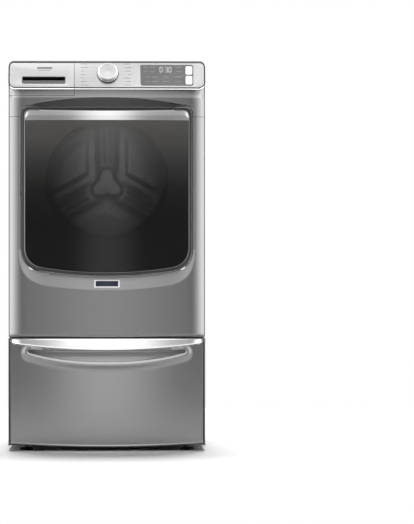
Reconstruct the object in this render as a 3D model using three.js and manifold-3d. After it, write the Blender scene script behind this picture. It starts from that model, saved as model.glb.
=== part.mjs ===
// Front load washing machine on a pedestal with a storage drawer.
// Millimetres, +Z up, the front faces -Y, origin on the floor under the middle of the machine.
import * as THREE from "three";
import { mergeVertices } from "three/addons/utils/BufferGeometryUtils.js";
import Module from "manifold-3d";

const wasm = await Module();
wasm.setup();

// ---------------------------------------------------------------- driving sizes
const WIDTH = 686;
const HEIGHT = 1362;
const DEPTH = 800; // from the crown of the door glass to the tip of the water inlets
const HALF = WIDTH / 2;
const DOOR_REACH = 55; // how far the door glass stands in front of the panels
const INLET_REACH = 35; // how far the water inlets stand behind the rear panel
const FRONT = -DEPTH / 2 + DOOR_REACH; // the flat of the front panels
const REAR = DEPTH / 2 - INLET_REACH;
const SHEET = 1.5; // steel sheet
const FIT = 0.6; // gap between neighbouring pieces

const PEDESTAL_TOP = 392;
const WASHER_BOTTOM = 396;
const PANEL_SPLIT = 1165; // seam between the lower and the upper front panel
const PANEL_TOP = 1258;
const CONSOLE_BOTTOM = 1262;
const CONSOLE_TOP = 1358;
const TOP_PANEL_BOTTOM = 1344;
const TOP_PANEL_FRONT = FRONT + 62;
const EDGE_RADIUS = 38; // the front panels' rounded vertical edges

const AXIS_Z = 940; // height of the drum's axis
const TUB_RADIUS = 288;
const DRUM_RADIUS = 263;
const MOUTH_RADIUS = 205; // opening in the front panel
const ROUND = 36; // facets of the large turned pieces

const DISH_DEPTH = 30; // recess the door closes into
const DISH_FLOOR = FRONT + DISH_DEPTH;

// ---------------------------------------------------------------- solids
const flipped = (tris) => tris.map((_, i) => tris[i - (i % 3) + (2 - (i % 3))]);

function solid(geometry) {
  const bare = geometry.index ? geometry.toNonIndexed() : geometry.clone();
  bare.deleteAttribute("normal");
  bare.deleteAttribute("uv");
  const merged = mergeVertices(bare, 1e-4);
  const vertProperties = merged.attributes.position.array;
  const triVerts = new Uint32Array(merged.index.array);
  const made = new wasm.Manifold(new wasm.Mesh({ numProp: 3, vertProperties, triVerts }));
  if (made.volume() > 0) return made;
  return new wasm.Manifold(
    new wasm.Mesh({ numProp: 3, vertProperties, triVerts: flipped(triVerts) }),
  );
}

const join = (first, ...rest) => rest.reduce((sum, piece) => sum.add(piece), first);
const cut = (first, ...rest) => rest.reduce((left, piece) => left.subtract(piece), first);

function box(x0, x1, y0, y1, z0, z1) {
  const middle = [(x0 + x1) / 2, (y0 + y1) / 2, (z0 + z1) / 2];
  return solid(new THREE.BoxGeometry(x1 - x0, y1 - y0, z1 - z0).translate(...middle));
}

// Shapes are drawn in two directions and pushed along the third.
const X = new THREE.Vector3(1, 0, 0);
const Y = new THREE.Vector3(0, 1, 0);
const Z = new THREE.Vector3(0, 0, 1);
const ELEVATION = new THREE.Matrix4().makeBasis(X, Z, Y.clone().negate()); // drawn in X and Z
const SECTION = new THREE.Matrix4().makeBasis(Y, Z, X); // drawn in Y and Z

function push(shape, depth, segments, bevel = { bevelEnabled: false }) {
  return new THREE.ExtrudeGeometry(shape, { depth, steps: 1, curveSegments: segments, ...bevel });
}

function elevation(shape, back, front, segments = 6) {
  return solid(push(shape, back - front, segments).applyMatrix4(ELEVATION).translate(0, back, 0));
}

function section(shape, x0, x1, segments = 6) {
  return solid(push(shape, x1 - x0, segments).applyMatrix4(SECTION).translate(x0, 0, 0));
}

function plan(shape, z0, z1, segments = 6) {
  return solid(push(shape, z1 - z0, segments).translate(0, 0, z0));
}

const polygon = (points) => new THREE.Shape(points.map(([a, b]) => new THREE.Vector2(a, b)));

function rounded(x0, x1, y0, y1, r) {
  const s = new THREE.Shape();
  s.moveTo(x0 + r, y0);
  s.lineTo(x1 - r, y0);
  s.absarc(x1 - r, y0 + r, r, -Math.PI / 2, 0);
  s.absarc(x1 - r, y1 - r, r, 0, Math.PI / 2);
  s.absarc(x0 + r, y1 - r, r, Math.PI / 2, Math.PI);
  s.absarc(x0 + r, y0 + r, r, Math.PI, Math.PI * 1.5);
  return s;
}

function disc(x, y, r) {
  const s = new THREE.Shape();
  s.absarc(x, y, r, 0, Math.PI * 2);
  return s;
}

// A turned piece from [radius, along] pairs; it turns about the Y direction through (x, z).
function turned(profile, segments = ROUND, x = 0, z = AXIS_Z) {
  const closed = profile.every(([r]) => r > 0) ? [...profile, profile[0]] : profile;
  const points = closed.map(([r, along]) => new THREE.Vector2(r, along));
  return solid(new THREE.LatheGeometry(points, segments).translate(x, 0, z));
}

// The same, turned about the vertical through (x, y).
function standing(profile, segments, x, y) {
  const points = profile.map(([r, along]) => new THREE.Vector2(r, along));
  return solid(new THREE.LatheGeometry(points, segments).rotateX(Math.PI / 2).translate(x, y, 0));
}

const rod = (r, from, to, segments, x, z) =>
  turned([[0, from], [r, from], [r, to], [0, to]], segments, x, z);
const post = (r, z0, z1, segments, x, y) =>
  standing([[0, z0], [r, z0], [r, z1], [0, z1]], segments, x, y);

// Straight sides, with the bottom edge sagging and the top edge rising towards the middle.
// bow and crown are what each edge has lost at the sides; the corners blend into the sides.
function bowed({ half, bottom, bow, corner, top, crown = 0, topCorner }) {
  const edge = (loss, blend) => {
    const reach = half - blend;
    const drop = loss * (reach / half) ** 2;
    return { reach, drop, turn: drop + (2 * drop * blend) / reach };
  };
  const low = edge(bow, corner);
  const high = edge(crown, topCorner);
  const s = new THREE.Shape();
  s.moveTo(-low.reach, bottom + low.drop);
  s.quadraticCurveTo(0, bottom - low.drop, low.reach, bottom + low.drop);
  s.quadraticCurveTo(half, bottom + low.turn, half, bottom + low.turn + corner);
  s.lineTo(half, top - high.turn - topCorner);
  s.quadraticCurveTo(half, top - high.turn, high.reach, top - high.drop);
  s.quadraticCurveTo(0, top + high.drop, -high.reach, top - high.drop);
  s.quadraticCurveTo(-half, top - high.turn, -half, top - high.turn - topCorner);
  s.lineTo(-half, bottom + low.turn + corner);
  s.quadraticCurveTo(-half, bottom + low.turn, -low.reach, bottom + low.drop);
  return s;
}

// ---------------------------------------------------------------- finishes
const finish = (color, metalness, roughness) =>
  new THREE.MeshStandardMaterial({ color, metalness, roughness });
const SLATE = finish(0x7d8084, 0.8, 0.35);
const SILVER = finish(0xc4c6c8, 0.7, 0.35);
const CHROME = finish(0xe6e8ea, 1, 0.1);
const STEEL = finish(0xaeb2b5, 0.9, 0.3);
const BLACK = finish(0x141517, 0.1, 0.4);
const GLASS = finish(0x20242a, 0.1, 0.05);
const WHITE = finish(0xe2e4e4, 0, 0.5);
const RUBBER = finish(0x55585b, 0, 0.8);
const CONCRETE = finish(0x9a9892, 0, 0.9);
const CASTING = finish(0x8a8d90, 0.8, 0.5);

const machine = new THREE.Group();

function add(name, piece, material) {
  const { vertProperties, triVerts } = piece.getMesh();
  const geometry = new THREE.BufferGeometry();
  geometry.setAttribute("position", new THREE.BufferAttribute(vertProperties, 3));
  geometry.setIndex(new THREE.BufferAttribute(triVerts, 1));
  geometry.computeVertexNormals();
  const mesh = new THREE.Mesh(geometry, material);
  mesh.name = name;
  machine.add(mesh);
}

// ---------------------------------------------------------------- outlines of the front
const DOOR = { half: 296, bottom: 611, bow: 34, corner: 70, top: 1200, topCorner: 29 };
const DOOR_BORDER = 10;
const DOOR_CLEARANCE = 6; // gap round the door
const inset = (o, by) => ({
  ...o,
  half: o.half - by,
  bottom: o.bottom + by,
  top: o.top - by,
  corner: o.corner - by / 2,
  topCorner: o.topCorner - by / 2,
});
const DISH = {
  half: 309, bottom: 556, bow: 32, corner: 105, top: 1236, crown: 34, topCorner: 30,
};

// A solid through rings of points; ring k lies at depths[k], and all rings pair up point by point.
function loft(rings, depths) {
  const count = rings[0].length;
  const vertex = (k, i) => [rings[k][i % count].x, depths[k], rings[k][i % count].y];
  const faces = [];
  for (let k = 0; k + 1 < rings.length; k += 1) {
    for (let i = 0; i < count; i += 1) {
      faces.push(vertex(k, i), vertex(k, i + 1), vertex(k + 1, i));
      faces.push(vertex(k, i + 1), vertex(k + 1, i + 1), vertex(k + 1, i));
    }
  }
  const last = rings.length - 1;
  for (const [a, b, c] of THREE.ShapeUtils.triangulateShape(rings[0], [])) {
    faces.push(vertex(0, a), vertex(0, c), vertex(0, b));
  }
  for (const [a, b, c] of THREE.ShapeUtils.triangulateShape(rings[last], [])) {
    faces.push(vertex(last, a), vertex(last, b), vertex(last, c));
  }
  const geometry = new THREE.BufferGeometry();
  geometry.setAttribute("position", new THREE.Float32BufferAttribute(faces.flat(), 3));
  return solid(geometry);
}

// The space of the dish: the panel rolls in from the dish's outline to a wall close round the
// door. grown makes the outside of the sheet.
function dishBlock(grown) {
  const segments = 6;
  const steps = 5;
  const roll = DISH_DEPTH - 6;
  const outer = bowed(inset(DISH, -grown)).getPoints(segments);
  const inner = bowed(inset(DOOR, -DOOR_CLEARANCE - grown)).getPoints(segments);
  const between = (t) => outer.map((p, i) => p.clone().lerp(inner[i], t));
  const rings = [outer];
  const depths = [FRONT - 40];
  for (let k = 0; k <= steps; k += 1) {
    const angle = (k / steps) * (Math.PI / 2);
    rings.push(between(Math.sin(angle)));
    depths.push(FRONT + grown + roll * (1 - Math.cos(angle)));
  }
  rings.push(inner);
  depths.push(DISH_FLOOR + grown);
  return loft(rings, depths);
}

// ---------------------------------------------------------------- cabinet
const SIDE_FRONT = FRONT + EDGE_RADIUS + 2;

function wrappedSheet(z0, z1) {
  const r = EDGE_RADIUS;
  const centre = HALF - r;
  const s = new THREE.Shape();
  s.moveTo(-HALF, SIDE_FRONT);
  s.lineTo(-HALF, FRONT + r);
  s.absarc(-centre, FRONT + r, r, Math.PI, Math.PI * 1.5);
  s.absarc(centre, FRONT + r, r, Math.PI * 1.5, Math.PI * 2);
  s.lineTo(HALF, SIDE_FRONT);
  s.lineTo(HALF - SHEET, SIDE_FRONT);
  s.absarc(centre, FRONT + r, r - SHEET, Math.PI * 2, Math.PI * 1.5, true);
  s.absarc(-centre, FRONT + r, r - SHEET, Math.PI * 1.5, Math.PI, true);
  s.lineTo(-HALF + SHEET, SIDE_FRONT);
  return plan(s, z0, z1, 4);
}

const LOCK_X = 262;
const LOCK_Z = 1000;
const DRAWER_EDGE = -113; // right-hand edge of the detergent drawer
const DRAWER_BOTTOM = 1238;

function frontPanels() {
  const lip = 15; // collar behind the mouth, which the bellows clamps to
  const collar = rod(MOUTH_RADIUS + SHEET, DISH_FLOOR, DISH_FLOOR + lip, ROUND, 0, AXIS_Z);
  const mouth = rod(MOUTH_RADIUS, FRONT - 50, DISH_FLOOR + lip + 1, ROUND, 0, AXIS_Z);
  const behind = box(-HALF, HALF, FRONT, DISH_FLOOR + lip + 1, WASHER_BOTTOM, PANEL_TOP);
  const pressed = join(dishBlock(SHEET), collar).intersect(behind);
  const slot = box(LOCK_X - 8, LOCK_X + 8, FRONT, FRONT + 60, LOCK_Z - 16, LOCK_Z + 16);
  const whole = cut(
    join(wrappedSheet(WASHER_BOTTOM, PANEL_TOP), pressed),
    dishBlock(0),
    mouth,
    slot,
  );
  const across = [-HALF - 1, HALF + 1, FRONT - 1, FRONT + 100];
  const lower = whole.intersect(box(...across, 0, PANEL_SPLIT - FIT / 2));
  const drawerNotch = box(
    -HALF - 1, DRAWER_EDGE + FIT, FRONT - 1, FRONT + 100, DRAWER_BOTTOM - FIT, PANEL_TOP + 1,
  );
  const upper = whole.intersect(box(...across, PANEL_SPLIT + FIT / 2, HEIGHT));
  add("front_panel", lower, SLATE);
  add("upper_front_panel", cut(upper, drawerNotch), SLATE);
}

function sidePanel(side, name) {
  const flange = 22;
  const back = REAR - SHEET - FIT;
  const outer = side * HALF;
  const inner = side * (HALF - SHEET);
  const turnedIn = side * (HALF - flange);
  const outline = polygon([
    [outer, SIDE_FRONT + FIT],
    [outer, back],
    [turnedIn, back],
    [turnedIn, back - SHEET],
    [inner, back - SHEET],
    [inner, SIDE_FRONT + FIT],
  ]);
  add(name, plan(outline, WASHER_BOTTOM, TOP_PANEL_BOTTOM - FIT), SLATE);
}

// Its long edges are rounded right down to the side panels.
function topPanel() {
  const skin = 3;
  const shoulder = HEIGHT - TOP_PANEL_BOTTOM;
  const outline = (shrink) => {
    const half = HALF - shrink;
    const top = HEIGHT - shrink;
    const r = shoulder - shrink;
    const s = new THREE.Shape();
    s.moveTo(-half, TOP_PANEL_BOTTOM - shrink);
    s.lineTo(half, TOP_PANEL_BOTTOM - shrink);
    s.lineTo(half, top - r);
    s.absarc(half - r, top - r, r, 0, Math.PI / 2);
    s.lineTo(-half + r, top);
    s.absarc(-half + r, top - r, r, Math.PI / 2, Math.PI);
    return s;
  };
  const slab = elevation(outline(0), REAR, TOP_PANEL_FRONT, 6);
  const hollow = elevation(outline(skin), REAR - skin, TOP_PANEL_FRONT + skin, 6);
  add("top_panel", cut(slab, hollow), BLACK);
}

const INLET_X = [-285, -235];
const INLET_Z = 1285;

function rearPanel() {
  const half = HALF - 2;
  const panel = box(-half, half, REAR - SHEET, REAR, WASHER_BOTTOM, TOP_PANEL_BOTTOM - FIT);
  // Raised cover over the belt, open towards the inside.
  const coverRise = 12;
  const cover = rod(190, REAR - SHEET, REAR + coverRise, 24, 0, AXIS_Z - 60);
  const coverInside = rod(187, REAR - 5, REAR + coverRise - SHEET, 24, 0, AXIS_Z - 60);
  const gland = rod(14, REAR - 8, REAR + 14, 12, 255, 1240);
  const drain = rod(16, REAR - 20, REAR + 30, 12, -255, 1180);
  const drainBore = rod(12, REAR - 21, REAR + 31, 12, -255, 1180);
  const inlets = INLET_X.map((x) => rod(17, REAR - 10, REAR + 10, 12, x, INLET_Z));
  const body = cut(join(panel, cover), coverInside);
  add("rear_panel", cut(join(body, gland, drain), drainBore, ...inlets), STEEL);
}

function inletValve() {
  const body = box(-305, -215, REAR - 62, REAR - 12, 1262, 1308);
  const spigot = (x) => rod(13, REAR - 13, REAR + INLET_REACH, 16, x, INLET_Z);
  const bore = (x) => rod(9, REAR + 4, REAR + INLET_REACH + 1, 16, x, INLET_Z);
  const outlet = rod(9, REAR - 80, REAR - 61, 12, -260, 1280);
  const coils = INLET_X.map((x) => box(x - 12, x + 12, REAR - 60, REAR - 30, 1307, 1330));
  add(
    "inlet_valve",
    cut(join(body, ...INLET_X.map(spigot), outlet, ...coils), ...INLET_X.map(bore)),
    WHITE,
  );
}

const PAN_RIM = 422;
const PAN_FLOOR = 399;

function basePan() {
  const half = HALF - 2.5;
  const y0 = FRONT + 24; // clear of the front panel's rolled foot
  const y1 = REAR - 6;
  const r = EDGE_RADIUS;
  const wall = 2;
  const pan = plan(rounded(-half, half, y0, y1, r), WASHER_BOTTOM, PAN_RIM, 3);
  const inside = plan(
    rounded(-half + wall, half - wall, y0 + wall, y1 - wall, r - wall), PAN_FLOOR, PAN_RIM + 1, 3,
  );
  add("base_pan", cut(pan, inside), STEEL);
}

function badgePlate() {
  const plate = rounded(-46, 46, 567, 598, 5);
  add("badge_plate", elevation(plate, FRONT - 0.4, FRONT - 3, 3), CHROME);
}

// ---------------------------------------------------------------- console
const TILT = THREE.MathUtils.degToRad(21);
const CONSOLE_FRONT = FRONT - 4;
const faceY = (z) => CONSOLE_FRONT + (z - CONSOLE_BOTTOM) * Math.tan(TILT);
const upSlope = (z) => (z - CONSOLE_BOTTOM) / Math.cos(TILT);
const CONSOLE_WALL = 3;

// Console frame: x across, y up the slope, z out of the face.
const CONSOLE = new THREE.Matrix4()
  .makeBasis(
    X,
    new THREE.Vector3(0, Math.sin(TILT), Math.cos(TILT)),
    new THREE.Vector3(0, -Math.cos(TILT), Math.sin(TILT)),
  )
  .setPosition(0, CONSOLE_FRONT, CONSOLE_BOTTOM);

// A shape drawn across and up the slope, from one depth to another (0 is the face).
function onFace(shape, from, to, segments = 3) {
  return solid(push(shape, to - from, segments).translate(0, 0, from).applyMatrix4(CONSOLE));
}

// A turned piece that stands on the face; profile as [radius, height above the face].
function knobLike(profile, segments, x, z) {
  const closed = profile.every(([r]) => r > 0) ? [...profile, profile[0]] : profile;
  const points = closed.map(([r, h]) => new THREE.Vector2(r, h));
  const geometry = new THREE.LatheGeometry(points, segments).rotateX(Math.PI / 2);
  return solid(geometry.translate(x, upSlope(z), 0).applyMatrix4(CONSOLE));
}

const KNOB = { x: 3, z: 1314, radius: 34, height: 28, ringRadius: 39 };
const WINDOW = { left: 116, right: 301, bottom: 1277, top: 1347, slant: 14 };
const BUTTON = { left: 275, right: 297, travel: 1.5 };
const POWER = { bottom: 1313, top: 1341 };
const START = { bottom: 1281, top: 1310 };

// Outline of the whole console as seen from the front.
function consoleOutline(x0, x1, bottom) {
  const topRadius = 19;
  const lowRadius = 24;
  const s = new THREE.Shape();
  const left = x0 === -HALF;
  const right = x1 === HALF;
  s.moveTo(x0, left ? bottom + lowRadius : bottom);
  if (left) s.absarc(x0 + lowRadius, bottom + lowRadius, lowRadius, Math.PI, Math.PI * 1.5);
  s.lineTo(right ? x1 - lowRadius : x1, bottom);
  if (right) s.absarc(x1 - lowRadius, bottom + lowRadius, lowRadius, -Math.PI / 2, 0);
  s.lineTo(x1, right ? CONSOLE_TOP - topRadius : CONSOLE_TOP);
  if (right) s.absarc(x1 - topRadius, CONSOLE_TOP - topRadius, topRadius, 0, Math.PI / 2);
  s.lineTo(left ? x0 + topRadius : x0, CONSOLE_TOP);
  if (left) s.absarc(x0 + topRadius, CONSOLE_TOP - topRadius, topRadius, Math.PI / 2, Math.PI);
  return s;
}

function windowShape(grow) {
  const x0 = WINDOW.left - grow;
  const x1 = WINDOW.right + grow;
  const y0 = upSlope(WINDOW.bottom) - grow;
  const y1 = upSlope(WINDOW.top) + grow;
  const r = 7;
  const s = new THREE.Shape();
  s.moveTo(x0 + WINDOW.slant + r, y0);
  s.lineTo(x1 - r, y0);
  s.absarc(x1 - r, y0 + r, r, -Math.PI / 2, 0);
  s.absarc(x1 - r, y1 - r, r, 0, Math.PI / 2);
  s.lineTo(x0 + r, y1);
  s.quadraticCurveTo(x0, y1, x0 + WINDOW.slant * 0.1, y1 - r);
  s.lineTo(x0 + WINDOW.slant * 0.9, y0 + r);
  s.quadraticCurveTo(x0 + WINDOW.slant, y0, x0 + WINDOW.slant + r, y0);
  return s;
}

const buttonShape = (z0, z1, grow) =>
  rounded(BUTTON.left - grow, BUTTON.right + grow, upSlope(z0) - grow, upSlope(z1) + grow, 4 + grow);

function consoleFascia() {
  const w = CONSOLE_WALL;
  const bend = CONSOLE_TOP - 6;
  const back = TOP_PANEL_FRONT - FIT;
  const wall = polygon([
    [FRONT + 13, CONSOLE_BOTTOM],
    [CONSOLE_FRONT, CONSOLE_BOTTOM],
    [faceY(bend), bend],
    [faceY(bend) + 5, CONSOLE_TOP],
    [back, CONSOLE_TOP],
    [back, CONSOLE_TOP - w],
    [faceY(bend) + 6, CONSOLE_TOP - w],
    [faceY(bend) + w, bend - w],
    [CONSOLE_FRONT + w + 1, CONSOLE_BOTTOM + w],
    [FRONT + 13, CONSOLE_BOTTOM + w],
  ]);
  const shell = section(wall, -HALF, HALF);
  const outline = elevation(
    consoleOutline(-HALF, HALF, CONSOLE_BOTTOM), back + 1, CONSOLE_FRONT - 20, 4,
  );
  const low = upSlope(CONSOLE_BOTTOM) - 40;
  const high = upSlope(CONSOLE_TOP) + 40;
  const drawerSpace = onFace(
    polygon([[-HALF - 1, low], [DRAWER_EDGE + FIT, low], [DRAWER_EDGE + FIT, high], [-HALF - 1, high]]),
    -17, 40,
  );
  const opening = onFace(windowShape(0.5), -20, 10);
  const shaftHole = knobLike([[0, -20], [8, -20], [8, 10], [0, 10]], 16, KNOB.x, KNOB.z);
  add(
    "console_fascia",
    cut(shell.intersect(outline), drawerSpace, opening, shaftHole),
    SILVER,
  );
}

function displayWindow() {
  const plate = onFace(windowShape(0), -3, 0.8);
  const holes = [POWER, START].map((b) => onFace(buttonShape(b.bottom, b.top, 0.5), -9, 9));
  add("display_window", cut(plate, ...holes), GLASS);
}

function button(name, at) {
  const cap = onFace(buttonShape(at.bottom, at.top, 0), -2.5, 2.8);
  const middle = (at.bottom + at.top) / 2;
  const x = (BUTTON.left + BUTTON.right) / 2;
  const stem = knobLike([[0, -8], [3, -8], [3, -2], [0, -2]], 10, x, middle);
  add(name, join(cap, stem), SILVER);
}

function knob() {
  const { x, z, radius, height, ringRadius } = KNOB;
  const ring = [
    [ringRadius - 4, 0.4],
    [ringRadius, 0.4],
    [ringRadius, 3],
    [ringRadius - 2, 5],
    [ringRadius - 4, 5],
  ];
  const grip = [
    [0, -22],
    [5, -22],
    [5, 1.4],
    [radius, 1.4],
    [radius - 0.5, height - 8],
    [radius - 3, height - 1.5],
    [radius - 6, height],
    [0, height - 1],
  ];
  add("knob_ring", knobLike(ring, 32, x, z), CHROME);
  add("cycle_knob", knobLike(grip, 32, x, z), SILVER);
}

function controlBoard() {
  const low = upSlope(1282);
  const high = upSlope(1344);
  const board = onFace(
    polygon([[-60, low], [312, low], [312, high], [-60, high]]), -17, -14,
  );
  const encoder = knobLike([[0, -25], [13, -25], [13, -8], [0, -8]], 12, KNOB.x, KNOB.z);
  const shaftHole = knobLike([[0, -23], [6, -23], [6, -7], [0, -7]], 12, KNOB.x, KNOB.z);
  const display = onFace(
    polygon([[176, upSlope(1312)], [240, upSlope(1312)], [240, high], [176, high]]), -14.5, -5,
  );
  const relay = (x) =>
    onFace(polygon([[x, low + 8], [x + 26, low + 8], [x + 26, low + 30], [x, low + 30]]), -34, -16.5);
  const switches = [POWER, START].map((b) =>
    knobLike(
      [[0, -15], [5, -15], [5, -10.5], [0, -10.5]], 8, (BUTTON.left + BUTTON.right) / 2,
      (b.bottom + b.top) / 2,
    ),
  );
  add(
    "control_board",
    cut(join(board, encoder, display, relay(70), relay(110), ...switches), shaftHole),
    BLACK,
  );
}

// ---------------------------------------------------------------- detergent drawer
const TRAY = { left: -325, right: -131, front: FRONT + 48, back: -30, bottom: 1250, top: 1318 };

function dispenserFront() {
  const w = 14;
  const bend = CONSOLE_TOP - 6;
  const edge = DRAWER_EDGE - FIT;
  const wall = polygon([
    [CONSOLE_FRONT, DRAWER_BOTTOM],
    [CONSOLE_FRONT, CONSOLE_BOTTOM],
    [faceY(bend), bend],
    [faceY(bend) + 5, CONSOLE_TOP],
    [faceY(bend) + w, CONSOLE_TOP],
    [CONSOLE_FRONT + w, CONSOLE_BOTTOM],
    [CONSOLE_FRONT + w, DRAWER_BOTTOM],
  ]);
  const outline = elevation(
    consoleOutline(-HALF, edge, DRAWER_BOTTOM), FRONT + 80, FRONT - 40, 4,
  );
  const body = section(wall, -HALF, edge).intersect(outline);
  const slot = { left: -296, right: -144, bottom: 1282, top: 1307 };
  const rim = 4;
  const pocketBack = onFace(
    rounded(
      slot.left - rim, slot.right + rim, upSlope(slot.bottom) - rim, upSlope(slot.top) + rim + 8, 6,
    ),
    -31, -1,
  );
  const pocket = onFace(
    rounded(slot.left, slot.right, upSlope(slot.bottom), upSlope(slot.top), 8), -27, 5,
  );
  const undercut = onFace(
    rounded(slot.left, slot.right, upSlope(slot.top) - 12, upSlope(slot.top) + 8, 4), -27, -5,
  );
  add("dispenser_front", cut(join(body, pocketBack), pocket, undercut), SILVER);
}

function dispenserTray() {
  const { left, right, front, back, bottom, top } = TRAY;
  const wall = 2;
  const dividers = [left + 62, left + 128];
  const edges = [left, ...dividers, right];
  const hollow = (i) =>
    box(
      edges[i] + wall, edges[i + 1] - (i === 2 ? wall : 0), front + wall, back - wall,
      bottom + 3, top + 1,
    );
  const block = box(left, right, front, back, bottom, top);
  add("dispenser_tray", cut(block, hollow(0), hollow(1), hollow(2)), WHITE);
}

function dispenserHousing() {
  const { left, right, front, back, bottom, top } = TRAY;
  const clear = 3;
  const wall = 2.5;
  const grow = clear + wall;
  const shell = box(left - grow, right + grow, front + 14, back + grow, bottom - grow, top + grow + 6);
  const inside = box(left - clear, right + clear, front, back + clear, bottom - clear, top + clear + 6);
  const spout = post(22, bottom - 30, bottom - 4, 16, -200, -60);
  const spoutBore = post(18, bottom - 31, bottom, 16, -200, -60);
  add("dispenser_housing", cut(join(shell, spout), inside, spoutBore), WHITE);
}

// ---------------------------------------------------------------- door
const DOOR_BACK = -332;
const DOOR_EDGE = -372; // front of the door's border
const HINGE = { x: -278, y: -358, bottom: 893, top: 987 };
const HANDLE = { bottom: 1155, top: 1190 };
const GRIP_FLOOR = -356; // depth of the finger gap over the handle

// A plate curved across, from its edge at edgeY to its crown at crownY, as a solid over z0..z1.
function curvedPlate(half, edgeY, crownY, thickness, z0, z1) {
  const s = new THREE.Shape();
  s.moveTo(-half, edgeY);
  s.quadraticCurveTo(0, 2 * crownY - edgeY, half, edgeY);
  s.lineTo(half, edgeY + thickness);
  s.quadraticCurveTo(0, 2 * crownY - edgeY + thickness, -half, edgeY + thickness);
  return plan(s, z0, z1, 14);
}

function doorFrame() {
  const outer = elevation(bowed(DOOR), DOOR_BACK, DOOR_EDGE);
  const inside = elevation(bowed(inset(DOOR, DOOR_BORDER)), DOOR_BACK + 1, DOOR_EDGE - 1);
  const grip = 228;
  const gripBar = box(-grip, grip, GRIP_FLOOR, DOOR_BACK, HANDLE.bottom, HANDLE.top + 2);
  const gripSpace = box(-grip, grip, DOOR_EDGE - 1, GRIP_FLOOR, HANDLE.bottom, DOOR.top + 1);
  const hingeSlot = box(-HALF, -284, HINGE.y - 6, DOOR_BACK + 1, HINGE.bottom, HINGE.top);
  const reach = DOOR.half - DOOR_BORDER - 1;
  const shelf = box(
    -reach - 2, reach + 2, GRIP_FLOOR, DOOR_BACK, HANDLE.bottom - FIT, HANDLE.bottom + 6,
  );
  add("door_frame", cut(join(cut(outer, inside), gripBar, shelf), gripSpace, hingeSlot), BLACK);
}

function doorWindow() {
  const opening = inset(DOOR, DOOR_BORDER + 1);
  const outline = elevation(
    bowed({ ...opening, top: HANDLE.bottom - FIT, topCorner: 4 }), 0, -DEPTH, 8,
  );
  const glass = curvedPlate(opening.half, DOOR_EDGE + 1, -DEPTH / 2, 5, 500, HEIGHT);
  add("door_window", glass.intersect(outline), GLASS);
}

function doorHandle() {
  const opening = inset(DOOR, DOOR_BORDER + 1);
  const { bottom, top } = HANDLE;
  const band = { ...opening, bottom, top, bow: 0.01, corner: 3, topCorner: 25 };
  const outline = elevation(bowed(band), 0, -DEPTH, 5);
  const bar = curvedPlate(opening.half, DOOR_EDGE - 1, -DEPTH / 2 + 2, 9, 500, HEIGHT);
  add("door_handle", bar.intersect(outline), CHROME);
}

function doorInner() {
  const back = DOOR_BACK + 8;
  const plate = elevation(bowed(inset(DOOR, 5)), back, DOOR_BACK + FIT);
  const ring = rod(213, -352, DOOR_BACK + 2, ROUND, 0, AXIS_Z);
  const bore = rod(199, -353, back + 1, ROUND, 0, AXIS_Z);
  const hingeSlot = box(-HALF, -236, DOOR_BACK - 1, back + 1, HINGE.bottom, HINGE.top);
  const lug = (z0, z1) =>
    join(
      box(HINGE.x - 7, HINGE.x + 36, HINGE.y - 6, HINGE.y + 6, z0, z1),
      box(HINGE.x + 22, HINGE.x + 36, HINGE.y, DOOR_BACK + 2, z0, z1),
    );
  const pin = post(4, HINGE.bottom - 10, HINGE.top + 10, 16, HINGE.x, HINGE.y);
  const lugs = [lug(HINGE.bottom - 10, HINGE.bottom), lug(HINGE.top, HINGE.top + 10)];
  add("door_inner", join(cut(join(plate, ring), bore, hingeSlot), ...lugs, pin), BLACK);
}

function hingeBracket() {
  const z0 = HINGE.bottom + 6;
  const z1 = HINGE.top - 6;
  const floor = DISH_FLOOR - FIT;
  const barrel = post(8, z0, z1, 16, HINGE.x, HINGE.y);
  const bore = post(4.6, z0 - 1, z1 + 1, 16, HINGE.x, HINGE.y);
  const foot = { left: HINGE.x + 33, right: HINGE.x + 52 };
  const arm = plan(
    polygon([
      [HINGE.x + 3, HINGE.y - 4],
      [foot.left + 8, floor],
      [foot.left, floor],
      [HINGE.x - 4, HINGE.y + 4],
    ]),
    z0, z1,
  );
  const plate = box(foot.left, foot.right, floor - 3, floor, z0, z1);
  add("hinge_bracket", cut(join(barrel, arm, plate), bore), STEEL);
}

function doorBowl() {
  const inner = [
    [0, -201], [75, -203], [125, -212], [150, -230], [168, -285], [174, -320], [180, -331],
  ];
  const rim = [[184, -336], [197, -336], [197, -331], [184, -327]];
  const outer = [[178, -318], [172, -284], [154, -227], [127, -207], [76, -198], [0, -196]];
  add("door_bowl", turned([...inner, ...rim, ...outer], ROUND), GLASS);
}

function doorLatch() {
  const block = (halfWidth, y0, y1, halfHeight) =>
    box(LOCK_X - halfWidth, LOCK_X + halfWidth, y0, y1, LOCK_Z - halfHeight, LOCK_Z + halfHeight);
  const shank = block(3, DOOR_BACK + 8 + FIT, DISH_FLOOR + 22, 9);
  const eye = block(4, DISH_FLOOR + 6, DISH_FLOOR + 15, 5);
  add("door_strike", cut(shank, eye), STEEL);
  const body = block(16, DISH_FLOOR + SHEET + FIT, DISH_FLOOR + 36, 42);
  const mouth = block(7, DISH_FLOOR, DISH_FLOOR + 29, 14);
  add("door_lock", cut(body, mouth), BLACK);
}

// ---------------------------------------------------------------- tub and drum
const TUB_FACE = -270;
const TUB_SPLIT = -20;
const TUB_BACK = 228;
const SHAFT_RADIUS = 17;
const PULLEY_FRONT = 276;
const DAMPER = { x: 215, y: -60, eye: 730 };
const SPRING = { x: 200, y: 60, bottom: 1168, top: 1292 };
const SUMP = { x: 60, y: -150 };

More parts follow.
